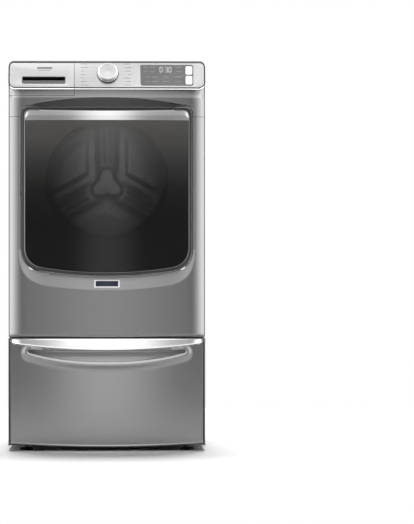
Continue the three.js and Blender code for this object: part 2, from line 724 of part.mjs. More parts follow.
function tub() {
  const r = TUB_RADIUS;
  const wall = 4;
  const lip = 195;
  const flange = 10;
  const front = turned([
    [lip, TUB_FACE - 15],
    [lip + wall, TUB_FACE - 15],
    [lip + wall, TUB_FACE],
    [r - 8, TUB_FACE],
    [r, TUB_FACE + 8],
    [r, TUB_SPLIT - 7],
    [r + flange, TUB_SPLIT - 7],
    [r + flange, TUB_SPLIT],
    [r - wall, TUB_SPLIT],
    [r - wall, TUB_FACE + wall + 2],
    [lip, TUB_FACE + wall],
  ]);
  const hub = 40;
  const rear = turned([
    [hub - 10, TUB_BACK - 8],
    [r - wall - 10, TUB_BACK - 8],
    [r - wall, TUB_BACK - 16],
    [r - wall, TUB_SPLIT + FIT],
    [r + flange, TUB_SPLIT + FIT],
    [r + flange, TUB_SPLIT + 7],
    [r, TUB_SPLIT + 7],
    [r, TUB_BACK - 12],
    [r - 12, TUB_BACK],
    [hub, TUB_BACK],
    [hub, TUB_BACK + 34],
    [hub - 10, TUB_BACK + 34],
  ]);
  const tubAt = (x) => AXIS_Z - Math.sqrt((r - wall / 2) ** 2 - x ** 2);
  const lug = (x, y, halfWidth, z0, z1) =>
    box(x - halfWidth, x + halfWidth, y - halfWidth, y + halfWidth, z0, z1);
  const damperLug = (side) =>
    lug(side * DAMPER.x, DAMPER.y, 12, DAMPER.eye, tubAt(DAMPER.x - 12) + 6);
  const port = post(24, AXIS_Z - r - 22, tubAt(SUMP.x), 16, SUMP.x, SUMP.y);
  const bore = post(20, AXIS_Z - r - 23, tubAt(SUMP.x) + 14, 16, SUMP.x, SUMP.y);
  const inside = rod(r - wall - 1, TUB_FACE + 10, TUB_BACK - 20, ROUND, 0, AXIS_Z);
  const lugs = [damperLug(-1), damperLug(1), port].map((piece) => cut(piece, inside));
  add("tub_front", cut(join(front, ...lugs), bore), WHITE);
  const tubTop = 2 * AXIS_Z - tubAt(SPRING.x - 10);
  const springLug = (side) =>
    lug(side * SPRING.x, SPRING.y, 10, tubTop - 8, SPRING.bottom - FIT);
  const ears = [springLug(-1), springLug(1)].map((piece) => cut(piece, inside));
  add("tub_rear", join(rear, ...ears), WHITE);
}

function counterweight() {
  const inner = 222;
  const outer = 280;
  const start = THREE.MathUtils.degToRad(-175);
  const end = THREE.MathUtils.degToRad(-5);
  const s = new THREE.Shape();
  s.absarc(0, AXIS_Z, outer, start, end);
  s.absarc(0, AXIS_Z, inner, end, start, true);
  add("counterweight", elevation(s, TUB_FACE - FIT, TUB_FACE - 27, 14), CONCRETE);
}

function bellows() {
  const r = MOUTH_RADIUS;
  add(
    "bellows",
    turned([
      [r - 5, DISH_FLOOR - 2],
      [r - 0.8, DISH_FLOOR - 2],
      [r - 0.8, DISH_FLOOR + 15],
      [r + 11, DISH_FLOOR + 19],
      [r + 11, DISH_FLOOR + 24],
      [r - 2, DISH_FLOOR + 29],
      [r - 2, TUB_FACE - 1],
      [r - 5.2, TUB_FACE - 1],
      [r - 5.2, TUB_FACE - 16],
      [r - 14, TUB_FACE - 18],
      [r - 14, TUB_FACE - 21],
      [r + 7, DISH_FLOOR + 21.5],
      [r - 5, DISH_FLOOR + 16],
    ]),
    RUBBER,
  );
}

function drum() {
  const r = DRUM_RADIUS;
  const front = -248;
  const back = 184;
  add(
    "drum_basket",
    turned([
      [0, back],
      [r - 6, back],
      [r, back - 6],
      [r, front + 10],
      [r - 8, front],
      [MOUTH_RADIUS, front],
      [MOUTH_RADIUS, front + SHEET],
      [r - 8, front + SHEET],
      [r - SHEET, front + 11],
      [r - SHEET, back - 7],
      [r - 7, back - SHEET],
      [0, back - SHEET],
    ]),
    STEEL,
  );
  const turn = (piece, degrees) => {
    const about = new THREE.Matrix4()
      .makeTranslation(0, 0, AXIS_Z)
      .multiply(new THREE.Matrix4().makeRotationY(THREE.MathUtils.degToRad(degrees)))
      .multiply(new THREE.Matrix4().makeTranslation(0, 0, -AXIS_Z));
    return piece.applyMatrix4(about);
  };
  // Baffles point at the axis, with a rounded crest; drawn at the bottom and turned into place.
  const foot = AXIS_Z - r + 7;
  for (let i = 0; i < 3; i += 1) {
    const s = new THREE.Shape();
    s.moveTo(-38, foot);
    s.quadraticCurveTo(-16, foot + 18, -13, foot + 48);
    s.quadraticCurveTo(0, foot + 66, 13, foot + 48);
    s.quadraticCurveTo(16, foot + 18, 38, foot);
    s.quadraticCurveTo(0, foot - 5.4, -38, foot);
    const bar = push(s, 390, 4).applyMatrix4(ELEVATION).translate(0, 170, 0);
    add(`baffle_${i + 1}`, solid(turn(bar, 120 * i)), WHITE);
  }
  const armShape = polygon([[-26, AXIS_Z], [26, AXIS_Z], [16, AXIS_Z + 250], [-16, AXIS_Z + 250]]);
  const arms = [0, 1, 2].map((i) => {
    const arm = push(armShape, 22, 1).applyMatrix4(ELEVATION).translate(0, back + 23, 0);
    return solid(turn(arm, 120 * i));
  });
  const hub = rod(48, back + 1, back + 30, 24, 0, AXIS_Z);
  const shaft = rod(SHAFT_RADIUS, back + 20, PULLEY_FRONT + 22, 24, 0, AXIS_Z);
  add("drum_spider", join(hub, ...arms, shaft), CASTING);
}

function bearing() {
  const r = SHAFT_RADIUS + 0.5;
  add(
    "tub_bearing",
    turned([[r, TUB_BACK - 4], [29.4, TUB_BACK - 4], [29.4, TUB_BACK + 30], [r, TUB_BACK + 30]], 24),
    STEEL,
  );
}

const MOTOR = { x: 130, z: 600, radius: 60, front: 70, back: 215 };
const PULLEY_RADIUS = 150;
const MOTOR_PULLEY_RADIUS = 15;
const BELT = { thickness: 3, width: 13 };

function drive() {
  const f = PULLEY_FRONT;
  add(
    "drum_pulley",
    turned([
      [SHAFT_RADIUS + 0.5, f - 4],
      [30, f - 4],
      [34, f + 5],
      [PULLEY_RADIUS - 8, f + 5],
      [PULLEY_RADIUS - 6, f],
      [PULLEY_RADIUS, f],
      [PULLEY_RADIUS, f + 17],
      [PULLEY_RADIUS - 6, f + 17],
      [PULLEY_RADIUS - 8, f + 9],
      [34, f + 9],
      [30, f + 19],
      [SHAFT_RADIUS + 0.5, f + 19],
    ]),
    CASTING,
  );
  const { x, z, radius, front, back } = MOTOR;
  const bore = 5.6;
  const pr = MOTOR_PULLEY_RADIUS;
  add(
    "motor_pulley",
    turned([[bore, f], [pr, f], [pr, f + 17], [bore, f + 17]], 20, x, z),
    STEEL,
  );
  const stator = rod(radius, front, back, 24, x, z);
  const shaft = rod(5, back - 5, f + 20, 12, x, z);
  const terminal = box(x - 20, x + 20, front + 20, front + 60, z - radius - 14, z - radius + 10);
  const feet = [-40, 28].map((dx) => box(x + dx, x + dx + 12, front + 30, back - 30, z + 35, z + 62));
  add("motor", join(stator, shaft, terminal, ...feet), CASTING);

  // The belt runs straight between the points where it leaves the two pulleys.
  const clear = 0.6;
  const dx = x;
  const dz = z - AXIS_Z;
  const along = Math.atan2(dz, dx);
  const wrap = Math.acos((PULLEY_RADIUS - pr) / Math.hypot(dx, dz));
  const loop = (Kind, grow) => {
    const s = new Kind();
    s.absarc(0, AXIS_Z, PULLEY_RADIUS + grow, along + wrap, along - wrap + Math.PI * 2);
    s.absarc(x, z, pr + grow, along - wrap, along + wrap);
    s.closePath();
    return s;
  };
  const outline = loop(THREE.Shape, clear + BELT.thickness);
  outline.holes.push(loop(THREE.Path, clear));
  add("drive_belt", elevation(outline, f + 2 + BELT.width, f + 2, 14), RUBBER);
}

// ---------------------------------------------------------------- suspension
const mirrored = (build) => {
  build(-1, "left");
  build(1, "right");
};

function suspension() {
  const half = HALF - SHEET - FIT;
  const channel = polygon([
    [SPRING.y - 16, SPRING.top + 6],
    [SPRING.y + 16, SPRING.top + 6],
    [SPRING.y + 16, SPRING.top + 24],
    [SPRING.y + 14, SPRING.top + 24],
    [SPRING.y + 14, SPRING.top + 8],
    [SPRING.y - 14, SPRING.top + 8],
    [SPRING.y - 14, SPRING.top + 24],
    [SPRING.y - 16, SPRING.top + 24],
  ]);
  const hooks = [-1, 1].map((side) => {
    const x = side * SPRING.x;
    return box(x - 6, x + 6, SPRING.y - 4, SPRING.y + 4, SPRING.top + FIT, SPRING.top + 7);
  });
  add("top_brace", join(section(channel, -half, half), ...hooks), STEEL);
  mirrored((side, name) => {
    const coil = 13;
    const eye = 4;
    const neck = 10;
    add(
      `spring_${name}`,
      standing(
        [
          [0, SPRING.bottom],
          [eye, SPRING.bottom],
          [eye, SPRING.bottom + neck],
          [coil, SPRING.bottom + neck + 4],
          [coil, SPRING.top - neck - 4],
          [eye, SPRING.top - neck],
          [eye, SPRING.top],
          [0, SPRING.top],
        ],
        12, side * SPRING.x, SPRING.y,
      ),
      STEEL,
    );
    const x = side * DAMPER.x;
    const tube = post(17, PAN_FLOOR + FIT, 610, 16, x, DAMPER.y);
    const tubeBore = post(10.5, 470, 611, 16, x, DAMPER.y);
    add(`damper_${name}`, cut(tube, tubeBore), BLACK);
    const stem = post(9, 500, DAMPER.eye - 10, 16, x, DAMPER.y);
    const eyeBlock = box(x - 12, x + 12, DAMPER.y - 12, DAMPER.y + 12, DAMPER.eye - 14, DAMPER.eye - FIT);
    add(`damper_rod_${name}`, join(stem, eyeBlock), STEEL);
  });
}

// ---------------------------------------------------------------- drain
const PUMP = { x: 245, y: -245, z: 452 };

function drain() {
  const { x, y, z } = PUMP;
  const volute = rod(42, y - 45, y + 15, 20, x, z);
  const motor = rod(26, y + 14, y + 70, 16, x, z);
  const foot = box(x - 34, x + 34, y - 36, y + 60, PAN_FLOOR + FIT, z - 20);
  const inlet = solid(
    new THREE.CylinderGeometry(21, 21, 40, 16).rotateZ(Math.PI / 2).translate(x - 55, y - 15, z + 5),
  );
  add("drain_pump", join(volute, motor, foot, inlet), WHITE);

  const path = new THREE.CatmullRomCurve3([
    new THREE.Vector3(SUMP.x, SUMP.y, AXIS_Z - TUB_RADIUS - 23),
    new THREE.Vector3(SUMP.x, SUMP.y, 570),
    new THREE.Vector3(SUMP.x + 18, SUMP.y - 30, 495),
    new THREE.Vector3(x - 120, y - 12, z + 8),
    new THREE.Vector3(x - 79, y - 15, z + 5),
  ]);
  const hose = new THREE.ExtrudeGeometry(disc(0, 0, 23), {
    steps: 12,
    bevelEnabled: false,
    extrudePath: path,
    curveSegments: 6,
  });
  add("sump_hose", solid(hose), RUBBER);
}

// ---------------------------------------------------------------- pedestal
const CASE_BOTTOM = 18;
const CASE_FRONT = FRONT + 6;
const CASE_BACK = REAR - 10;
const STILE = 3; // width of the case's front edges
const DRAWER = { half: 339, bottom: 12, top: 388, front: FRONT - 5, back: FRONT + 21 };
const DRAWER_BOX = { half: 316, back: 180, bottom: 44, top: 290 };
const RAIL = { z0: 150, z1: 190, front: FRONT + 40, back: 150 };

function pedestalCase() {
  const wall = 2;
  const shellFront = FRONT + 30;
  const outer = box(-HALF, HALF, CASE_FRONT, CASE_BACK, CASE_BOTTOM, PEDESTAL_TOP);
  const inside = box(
    -HALF + wall, HALF - wall, shellFront, CASE_BACK - wall, CASE_BOTTOM + wall, PEDESTAL_TOP - wall,
  );
  const doorway = box(
    -HALF + STILE, HALF - STILE, CASE_FRONT - 1, shellFront + 1, CASE_BOTTOM - 1, PEDESTAL_TOP - wall,
  );
  const nose = box(-HALF + 4, HALF - 4, FRONT, CASE_FRONT + 10, PEDESTAL_TOP - wall, PEDESTAL_TOP);
  const rail = (side) => {
    const at = [side * (HALF - wall + 1), side * (HALF - 8)].sort((a, b) => a - b);
    return box(...at, RAIL.front, RAIL.back, RAIL.z0 - 6, RAIL.z1 + 6);
  };
  add("pedestal_case", join(cut(outer, inside, doorway), nose, rail(-1), rail(1)), SLATE);
}

function slideRails() {
  mirrored((side, name) => {
    const at = [side * 326, side * 334].sort((a, b) => a - b);
    add(`rail_${name}`, box(...at, RAIL.front + 4, RAIL.back, RAIL.z0, RAIL.z1), STEEL);
  });
}

const TRIM = { bottom: 352, bow: 24 };
const GRIP = { half: 283, bottom: 306 };

// The crescent under the bright strip: the strip's lower edge above, a deeper bow below.
function crescent(grow) {
  const ends = GRIP.half + grow;
  const topEnd = TRIM.bottom + TRIM.bow * (ends / DRAWER.half) ** 2;
  const s = new THREE.Shape();
  const low = GRIP.bottom - grow;
  s.moveTo(-ends, topEnd);
  s.quadraticCurveTo(-ends * 0.93, low + 4, 0, low);
  s.quadraticCurveTo(ends * 0.93, low + 4, ends, topEnd);
  s.quadraticCurveTo(0, 2 * TRIM.bottom - topEnd, -ends, topEnd);
  return s;
}

function drawer() {
  const { half, top, front, back } = DRAWER;
  const skin = 2;
  const outline = { half, bottom: DRAWER.bottom, bow: 11, corner: 14, top, topCorner: 4 };
  const slab = elevation(bowed(outline), back, front, 8);
  const hollow = elevation(bowed(inset(outline, 3 * skin)), back + 1, front + 3 * skin, 8);
  const depth = 34;
  const pocketBack = elevation(crescent(5), front + depth + 4, front + 2, 8);
  const pocket = elevation(crescent(0), front + depth, front - 1, 8);
  // The strip is let into the slab's top edge.
  const band = (grow, y0, y1) => {
    const s = bowed({
      half: half - 0.5 + grow, bottom: TRIM.bottom - grow, bow: TRIM.bow, corner: 6,
      top: top - 1.5 + 4 * grow, topCorner: 4,
    });
    return elevation(s, y1, y0, 10);
  };
  const pan = join(cut(slab, hollow), pocketBack);
  add("drawer_front", cut(pan, pocket, band(0.5, front - 1, front + skin + 2)), SLATE);
  add("drawer_trim", band(0, front - 4, front + skin + 1.4), CHROME);

  const b = DRAWER_BOX;
  const wall = 2;
  const start = back + FIT;
  const tray = box(-b.half, b.half, start, b.back, b.bottom, b.top);
  const storage = box(
    -b.half + wall, b.half - wall, start + wall, b.back - wall, b.bottom + wall, b.top + 1,
  );
  const runner = (side) => {
    const at = [side * (b.half - 1), side * 324].sort((p, q) => p - q);
    return box(...at, start + 4, b.back, RAIL.z0 + 6, RAIL.z1 - 6);
  };
  add("drawer_box", join(cut(tray, storage), runner(-1), runner(1)), STEEL);
}

function feet() {
  const inboard = 62;
  const places = {
    front_left: [-1, CASE_FRONT + inboard],
    front_right: [1, CASE_FRONT + inboard],
    rear_left: [-1, CASE_BACK - inboard],
    rear_right: [1, CASE_BACK - inboard],
  };
  for (const [name, [side, y]] of Object.entries(places)) {
    const profile = [
      [0, 0],
      [24, 0],
      [26, 3],
      [22, 8],
      [9, 11],
      [9, CASE_BOTTOM - FIT],
      [0, CASE_BOTTOM - FIT],
    ];
    add(`foot_${name}`, standing(profile, 16, side * (HALF - inboard), y), BLACK);
  }
}

frontPanels();
sidePanel(-1, "side_panel_left");
sidePanel(1, "side_panel_right");
topPanel();
rearPanel();
inletValve();
basePan();
badgePlate();
consoleFascia();
displayWindow();
button("power_button", POWER);
button("start_button", START);
knob();
controlBoard();
dispenserFront();
dispenserTray();
dispenserHousing();
doorFrame();
doorWindow();
doorHandle();
doorInner();
hingeBracket();
doorBowl();
doorLatch();
tub();
counterweight();
bellows();
drum();
bearing();
drive();
suspension();
drain();
pedestalCase();
slideRails();
drawer();
feet();

export default machine;
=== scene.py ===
"""The looks of the front load washing machine on its storage pedestal, built round its CAD frame.

Lengths in the shape code are millimetres, as in the part's source, and become metres in piece().
"""

import math

import bmesh
import bpy
import numpy as np
from mathutils import Matrix, Vector


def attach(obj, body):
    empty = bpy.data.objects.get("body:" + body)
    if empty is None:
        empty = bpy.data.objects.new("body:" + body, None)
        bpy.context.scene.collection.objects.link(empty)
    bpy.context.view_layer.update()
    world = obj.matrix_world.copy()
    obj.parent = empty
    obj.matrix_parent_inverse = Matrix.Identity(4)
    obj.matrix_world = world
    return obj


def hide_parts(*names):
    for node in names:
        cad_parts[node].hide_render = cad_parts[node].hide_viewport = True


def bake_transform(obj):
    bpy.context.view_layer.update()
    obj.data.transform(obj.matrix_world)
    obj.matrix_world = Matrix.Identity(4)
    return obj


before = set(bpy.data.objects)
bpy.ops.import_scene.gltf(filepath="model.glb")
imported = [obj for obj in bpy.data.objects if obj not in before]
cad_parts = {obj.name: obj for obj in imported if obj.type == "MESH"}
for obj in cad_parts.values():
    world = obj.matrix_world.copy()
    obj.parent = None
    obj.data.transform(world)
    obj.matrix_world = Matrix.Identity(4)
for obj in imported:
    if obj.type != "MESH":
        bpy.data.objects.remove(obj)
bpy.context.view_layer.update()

MM = 0.001

# ---------------------------------------------------------------- driving dimensions
HALF = 343  # half the cabinet's width
FRONT = -345  # the front panels' foremost line
WASHER_BOTTOM = 394.5
PANEL_SPLIT = 1165  # seam between the lower and upper front panels
PANEL_TOP = 1258
SEAM = 0.6  # half the width of a panel gap
AXIS_Z = 940  # the drum's axis
MOUTH_RADIUS = 205

BOW = 12  # how far the front falls back from its middle to where the edges round off
CREASE = 285  # half width where the rounded edges begin
EDGE_DEPTH = 22  # how deep the rounded edges are, beyond the bow's own slope

DOOR = dict(half=296, bottom=609.5, bow=28, corner=70, top=1196, crown=0, top_corner=27)
DISH = dict(half=309, bottom=560, bow=32, corner=105, top=1232, crown=34, top_corner=30)
DOOR_CLEARANCE = 1.8
DISH_DEPTH = 30
SCOOP_DEPTH = 26  # the hollow over the door
DOOR_EDGE = -372  # the door's front at its sides
DOOR_CROWN = -399.4  # and at its middle
DOOR_BACK = -332.6
HINGE_SLOT = dict(bottom=890, top=990, front=-364.4)  # cut in the door's left side
HANDLE_BOTTOM = 1150
HANDLE_TOP = 1187
HANDLE_DIP = 5  # how far the handle's top edge bows down at its middle
GAP_TOP = 1193  # the top of the finger gap behind the handle

CONSOLE_BOTTOM = 1262
CONSOLE_TOP = 1358
CONSOLE_FRONT = -349
TILT = math.radians(21)
DRAWER_EDGE = -113  # right-hand edge of the detergent drawer
DRAWER_BOTTOM = 1238

PEDESTAL = dict(half=339, bottom=12, bow=11, corner=12, top=388, crown=0, top_corner=3)
PEDESTAL_FRONT = -350
PEDESTAL_BOW = 18
TRIM = dict(half=338.5, bottom=352, bow=24, corner=4, top=390, crown=0, top_corner=4)


def smooth(t):
    """0 below 0, 1 above 1, and a smooth step between."""
    t = min(1.0, max(0.0, t))
    return t * t * (3 - 2 * t)


def lerp(a, b, t):
    return a + (b - a) * t


# ---------------------------------------------------------------- materials
PATCHES = 14.0  # slow patches of gloss to the metre


def finish(
    name, colour, metallic=0.0, roughness=0.5, vary=0.06, grain=700.0, bump=0.03,
    stretch=(1, 1, 1), wander=0.05, **sockets,
):
    """A surface with fine grain in its colour and normal, and slow patches in its roughness."""
    material = bpy.data.materials.new(name)
    material.use_nodes = True
    tree = material.node_tree
    shader = tree.nodes["Principled BSDF"]
    shader.inputs["Metallic"].default_value = metallic
    for socket, value in sockets.items():
        shader.inputs[socket.replace("_", " ").title().replace("Ior", "IOR")].default_value = value
    where = tree.nodes.new("ShaderNodeTexCoord")
    scaled = tree.nodes.new("ShaderNodeMapping")
    scaled.inputs["Scale"].default_value = stretch
    tree.links.new(where.outputs["Object"], scaled.inputs["Vector"])

    fine = tree.nodes.new("ShaderNodeTexNoise")
    fine.inputs["Scale"].default_value = grain
    fine.inputs["Detail"].default_value = 3.0
    tree.links.new(scaled.outputs["Vector"], fine.inputs["Vector"])
    tint = tree.nodes.new("ShaderNodeValToRGB")
    tint.color_ramp.elements[0].position = 0.3
    tint.color_ramp.elements[1].position = 0.7
    tint.color_ramp.elements[0].color = [c * (1 - vary) for c in colour] + [1]
    tint.color_ramp.elements[1].color = [min(1, c * (1 + vary)) for c in colour] + [1]
    tree.links.new(fine.outputs["Fac"], tint.inputs["Fac"])
    tree.links.new(tint.outputs["Color"], shader.inputs["Base Color"])

    broad = tree.nodes.new("ShaderNodeTexNoise")
    broad.inputs["Scale"].default_value = PATCHES
    tree.links.new(where.outputs["Object"], broad.inputs["Vector"])
    gloss = tree.nodes.new("ShaderNodeMapRange")
    gloss.inputs["To Min"].default_value = max(0.0, roughness - wander)
    gloss.inputs["To Max"].default_value = min(1.0, roughness + wander)
    tree.links.new(broad.outputs["Fac"], gloss.inputs["Value"])
    tree.links.new(gloss.outputs["Result"], shader.inputs["Roughness"])

    relief = tree.nodes.new("ShaderNodeBump")
    relief.inputs["Strength"].default_value = bump
    relief.inputs["Distance"].default_value = 0.001
    tree.links.new(fine.outputs["Fac"], relief.inputs["Height"])
    tree.links.new(relief.outputs["Normal"], shader.inputs["Normal"])
    return material


def grey(value, warm=0.0):
    return (value * (1 + warm), value, value * (1 - warm))


def set_stops(ramp, stops, warm=0.0):
    """Fills a ramp with greys, from (place, value) pairs."""
    while len(ramp.elements) < len(stops):
        ramp.elements.new(0.5)
    for element, (place, value) in zip(ramp.elements, stops):
        element.position = place
        element.color = [*grey(value, warm), 1]


def shade_down(material, low, high, stops):
    """The material's colour as greys at heights between low and high, in metres: painted light and shade by
    height.
    """
    tree = material.node_tree
    where = tree.nodes.new("ShaderNodeTexCoord")
    axes = tree.nodes.new("ShaderNodeSeparateXYZ")
    height = tree.nodes.new("ShaderNodeMapRange")
    height.inputs["From Min"].default_value = low
    height.inputs["From Max"].default_value = high
    painted_light_ramp = tree.nodes.new("ShaderNodeValToRGB")
    set_stops(painted_light_ramp.color_ramp, stops, 0.03)
    tree.links.new(where.outputs["Object"], axes.inputs["Vector"])
    tree.links.new(axes.outputs["Z"], height.inputs["Value"])
    tree.links.new(height.outputs["Result"], painted_light_ramp.inputs["Fac"])
    tree.links.new(painted_light_ramp.outputs["Color"], tree.nodes["Principled BSDF"].inputs["Base Color"])
    return material


SLATE = finish("slate_paint", grey(0.205), 0.92, 0.27, vary=0.0, grain=1400, bump=0.0, wander=0.01)
DRAWER_SLATE = finish("drawer_paint", grey(0.25), 0.92, 0.19, vary=0.0, bump=0.0, wander=0.01)
# A paler copy of the slate paint for the dish's slope and lip under the door: a painted highlight.
PAINTED_HIGHLIGHT_SLATE = finish("dish_painted_highlight", grey(0.30), 0.92, 0.27, vary=0.0, bump=0.0, wander=0.01)
SLATE_SIDE = finish("slate_side_paint", grey(0.26), 0.75, 0.38, vary=0.05, grain=1400, bump=0.03)
DARK = finish("dark_paint", grey(0.035), 0.2, 0.35, grain=900, bump=0.03)
SILVER = finish("silver_plastic", grey(0.46), 0.8, 0.34, vary=0.05, grain=1100, bump=0.02)
CHROME = finish("bright_trim", grey(0.88), 1.0, 0.13, vary=0.02, grain=500, bump=0.006, wander=0.02)
BAR = finish("brushed_bar", grey(0.60), 1.0, 0.16, vary=0.02, grain=500, bump=0.006, wander=0.02)
STEEL = finish("steel", grey(0.55), 1.0, 0.32, vary=0.05, grain=900, bump=0.03)
DRUM_STEEL = finish(
    "drum_steel", grey(0.42), 1.0, 0.36, vary=0.05, grain=45, bump=0.02, stretch=(1, 20, 1),
)
ZINC = finish("zinc_sheet", grey(0.50), 0.9, 0.42, vary=0.18, grain=60, bump=0.04)
BLACK = finish("black_plastic", grey(0.016), 0.0, 0.42, grain=1300, bump=0.05)
GASKET = finish("soft_black", grey(0.012), 0.0, 0.6, grain=1300, bump=0.05)
BORDER = finish("door_border", grey(0.022), 0.3, 0.3, grain=900, bump=0.02)
HAIRLINE = finish("border_line", grey(0.15), 0.8, 0.3, grain=900, bump=0.02)
COLLAR = finish("knob_collar", grey(0.26), 0.8, 0.3, grain=900, bump=0.02)
# A matter, paler copy of the slate paint for the hollows over the door and in the drawer's pocket: painted
# shade in place of the paint's own reflections.
PAINTED_SHADE_SLATE = finish("slate_painted_shade", grey(0.52), 0.4, 0.5, vary=0.03, grain=1400, bump=0.01)
BOWL_GLASS = finish(
    "clear_glass", grey(0.50), 0.0, 0.03, vary=0.01, bump=0.0, wander=0.01, alpha=0.10, ior=1.45,
)
# The glass's colour is painted paler towards the top and fades down the pane: a painted reflection of the
# light from above.
DOOR_GLASS = shade_down(
    finish(
        "tinted_glass", grey(0.012), roughness=0.12, vary=0.02, bump=0.0, wander=0.01,
        alpha=0.62, ior=1.55, specular_ior_level=0.3,
    ),
    0.60, 1.16, [(0.0, 0.014), (0.35, 0.008), (0.55, 0.020), (0.72, 0.085), (0.86, 0.18), (1.0, 0.25)],
)
# The backing's colour is painted paler towards the top: painted light above and painted shade below.
BACKING = shade_down(
    finish("door_backing", grey(0.05), roughness=0.6, vary=0.03, bump=0.0),
    0.60, 1.16, [(0.0, 0.02), (0.35, 0.02), (0.6, 0.20), (0.8, 0.60), (1.0, 0.80)],
)
DISPLAY = finish("display_glass", grey(0.13), 0.85, 0.3, vary=0.03, grain=900, bump=0.01)
LIT = finish("display_marks", grey(0.55), 0.8, 0.4, vary=0.02, bump=0.0)
FAINT = finish("faint_marks", grey(0.24), 0.8, 0.4, vary=0.02, bump=0.0)
PRINT = finish("printed_marks", grey(0.15), 0.8, 0.5, vary=0.04, bump=0.01)
PULL = finish("pull_floor", grey(0.10), 0.8, 0.34, grain=900, bump=0.02)
GREY_PRINT = finish("grey_print", grey(0.20), 0.8, 0.5, vary=0.04, bump=0.01)
PALE_PRINT = finish("pale_print", grey(0.33), 0.8, 0.5, vary=0.04, bump=0.01)
BUTTON = finish("button_silver", grey(0.90), 0.85, 0.35, vary=0.04, grain=1100, bump=0.03)
WHITE = finish("white_plastic", grey(0.72, 0.01), 0.0, 0.42, vary=0.02, grain=600, bump=0.03)
RUBBER = finish("grey_rubber", grey(0.13), 0.0, 0.7, vary=0.08, grain=500, bump=0.08)
CONCRETE = finish("concrete", grey(0.36, 0.03), 0.0, 0.92, vary=0.25, grain=160, bump=0.5)
CASTING = finish("casting", grey(0.34), 0.8, 0.5, vary=0.12, grain=300, bump=0.12)
BADGE = finish("badge_enamel", (0.016, 0.022, 0.055), 0.1, 0.25, vary=0.05, grain=800, bump=0.01)
# Black for the insides of holes and slots: painted shade.
PAINTED_SHADE_BLACK = finish("painted_hole_shade", grey(0.004), 0.0, 0.9, vary=0.02, bump=0.0)


# ---------------------------------------------------------------- mesh helpers
def piece(name, points, faces, material, crease=35.0):
    """A mesh object from points in millimetres, with merged points and faces turned outwards."""
    mesh = bpy.data.meshes.new(name)
    mesh.from_pydata([(x * MM, y * MM, z * MM) for x, y, z in points], [], faces)
    soup = bmesh.new()
    soup.from_mesh(mesh)
    bmesh.ops.remove_doubles(soup, verts=soup.verts, dist=1e-6)
    bmesh.ops.recalc_face_normals(soup, faces=soup.faces)
    soup.to_mesh(mesh)
    soup.free()
    mesh.materials.append(material)
    mesh.shade_smooth()
    mesh.set_sharp_from_angle(angle=math.radians(crease))
    made = bpy.data.objects.new(name, mesh)
    bpy.context.scene.collection.objects.link(made)
    return made


def ring_faces(rings, count, around=True, first=0):
    """Quads between neighbouring rings of count points each."""
    span = count if around else count - 1
    return [
        (
            first + k * count + i,
            first + k * count + (i + 1) % count,
            first + (k + 1) * count + (i + 1) % count,
            first + (k + 1) * count + i,
        )
        for k in range(rings - 1)
        for i in range(span)
    ]


def loft(name, rings, material, around=True, caps=False, crease=35.0, ends_meet=False):
    """A skin through rings of points; caps close the first and last ring."""
    count = len(rings[0])
    if ends_meet:
        rings = rings + [rings[0]]
    points = [p for ring in rings for p in ring]
    faces = ring_faces(len(rings), count, around)
    if caps:
        last = (len(rings) - 1) * count
        faces += [tuple(range(count)), tuple(range(last, last + count))]
    return piece(name, points, faces, material, crease)


def softened(profile, radius, steps=4):
    """The closed profile with each corner rounded to the radius, or to what its edges allow."""
    out = []
    for i, here in enumerate(profile):
        p = Vector(here)
        a = Vector(profile[i - 1]) - p
        b = Vector(profile[(i + 1) % len(profile)]) - p
        reach = min(radius, a.length * 0.45, b.length * 0.45)
        start = p + a.normalized() * reach
        end = p + b.normalized() * reach
        for k in range(steps + 1):
            t = k / steps
            out.append(tuple(start * (1 - t) ** 2 + p * 2 * t * (1 - t) + end * t * t))
    return out


def circle(radius, sides):
    angles = [2 * math.pi * k / sides for k in range(sides)]
    return [(radius * math.cos(a), radius * math.sin(a)) for a in angles]


def about_drum(u, v, w):
    """A point u across and v above the drum's axis, at depth w."""
    return (u, w, AXIS_Z + v)


def turned(name, profile, material, segments=96, place=about_drum):
    """A closed profile of (radius, depth) turned about the axis that place works from."""
    rings = [[place(u, v, w) for u, v in circle(r, segments)] for r, w in profile]
    return loft(name, rings, material, ends_meet=True)


def on_face(u, v, w):
    """A point of the tilted console: u across, v up its slope, w out from it."""
    return (
        u,
        CONSOLE_FRONT + v * math.sin(TILT) - w * math.cos(TILT),
        CONSOLE_BOTTOM + v * math.cos(TILT) + w * math.sin(TILT),
    )


def up_slope(z):
    return (z - CONSOLE_BOTTOM) / math.cos(TILT)


def upright(front):
    """Places a flat piece facing forwards, its back at y = front."""
    return lambda u, v, w: (u, front - w, v)


def rounded(x0, x1, z0, z1, radius, steps=8):
    """Points round a rectangle with rounded corners; radius is one number or four, from lower left."""
    radii = radius if isinstance(radius, (list, tuple)) else [radius] * 4
    corners = [(x0, z0, 180), (x1, z0, 270), (x1, z1, 0), (x0, z1, 90)]
    out = []
    for (cx, cz, start), r in zip(corners, radii):
        mx = cx + (r if cx == x0 else -r)
        mz = cz + (r if cz == z0 else -r)
        turns = steps if r > 0 else 0
        for k in range(turns + 1):
            angle = math.radians(start + (90 * k / turns if turns else 45))
            out.append((mx + r * math.cos(angle), mz + r * math.sin(angle)))
    return out


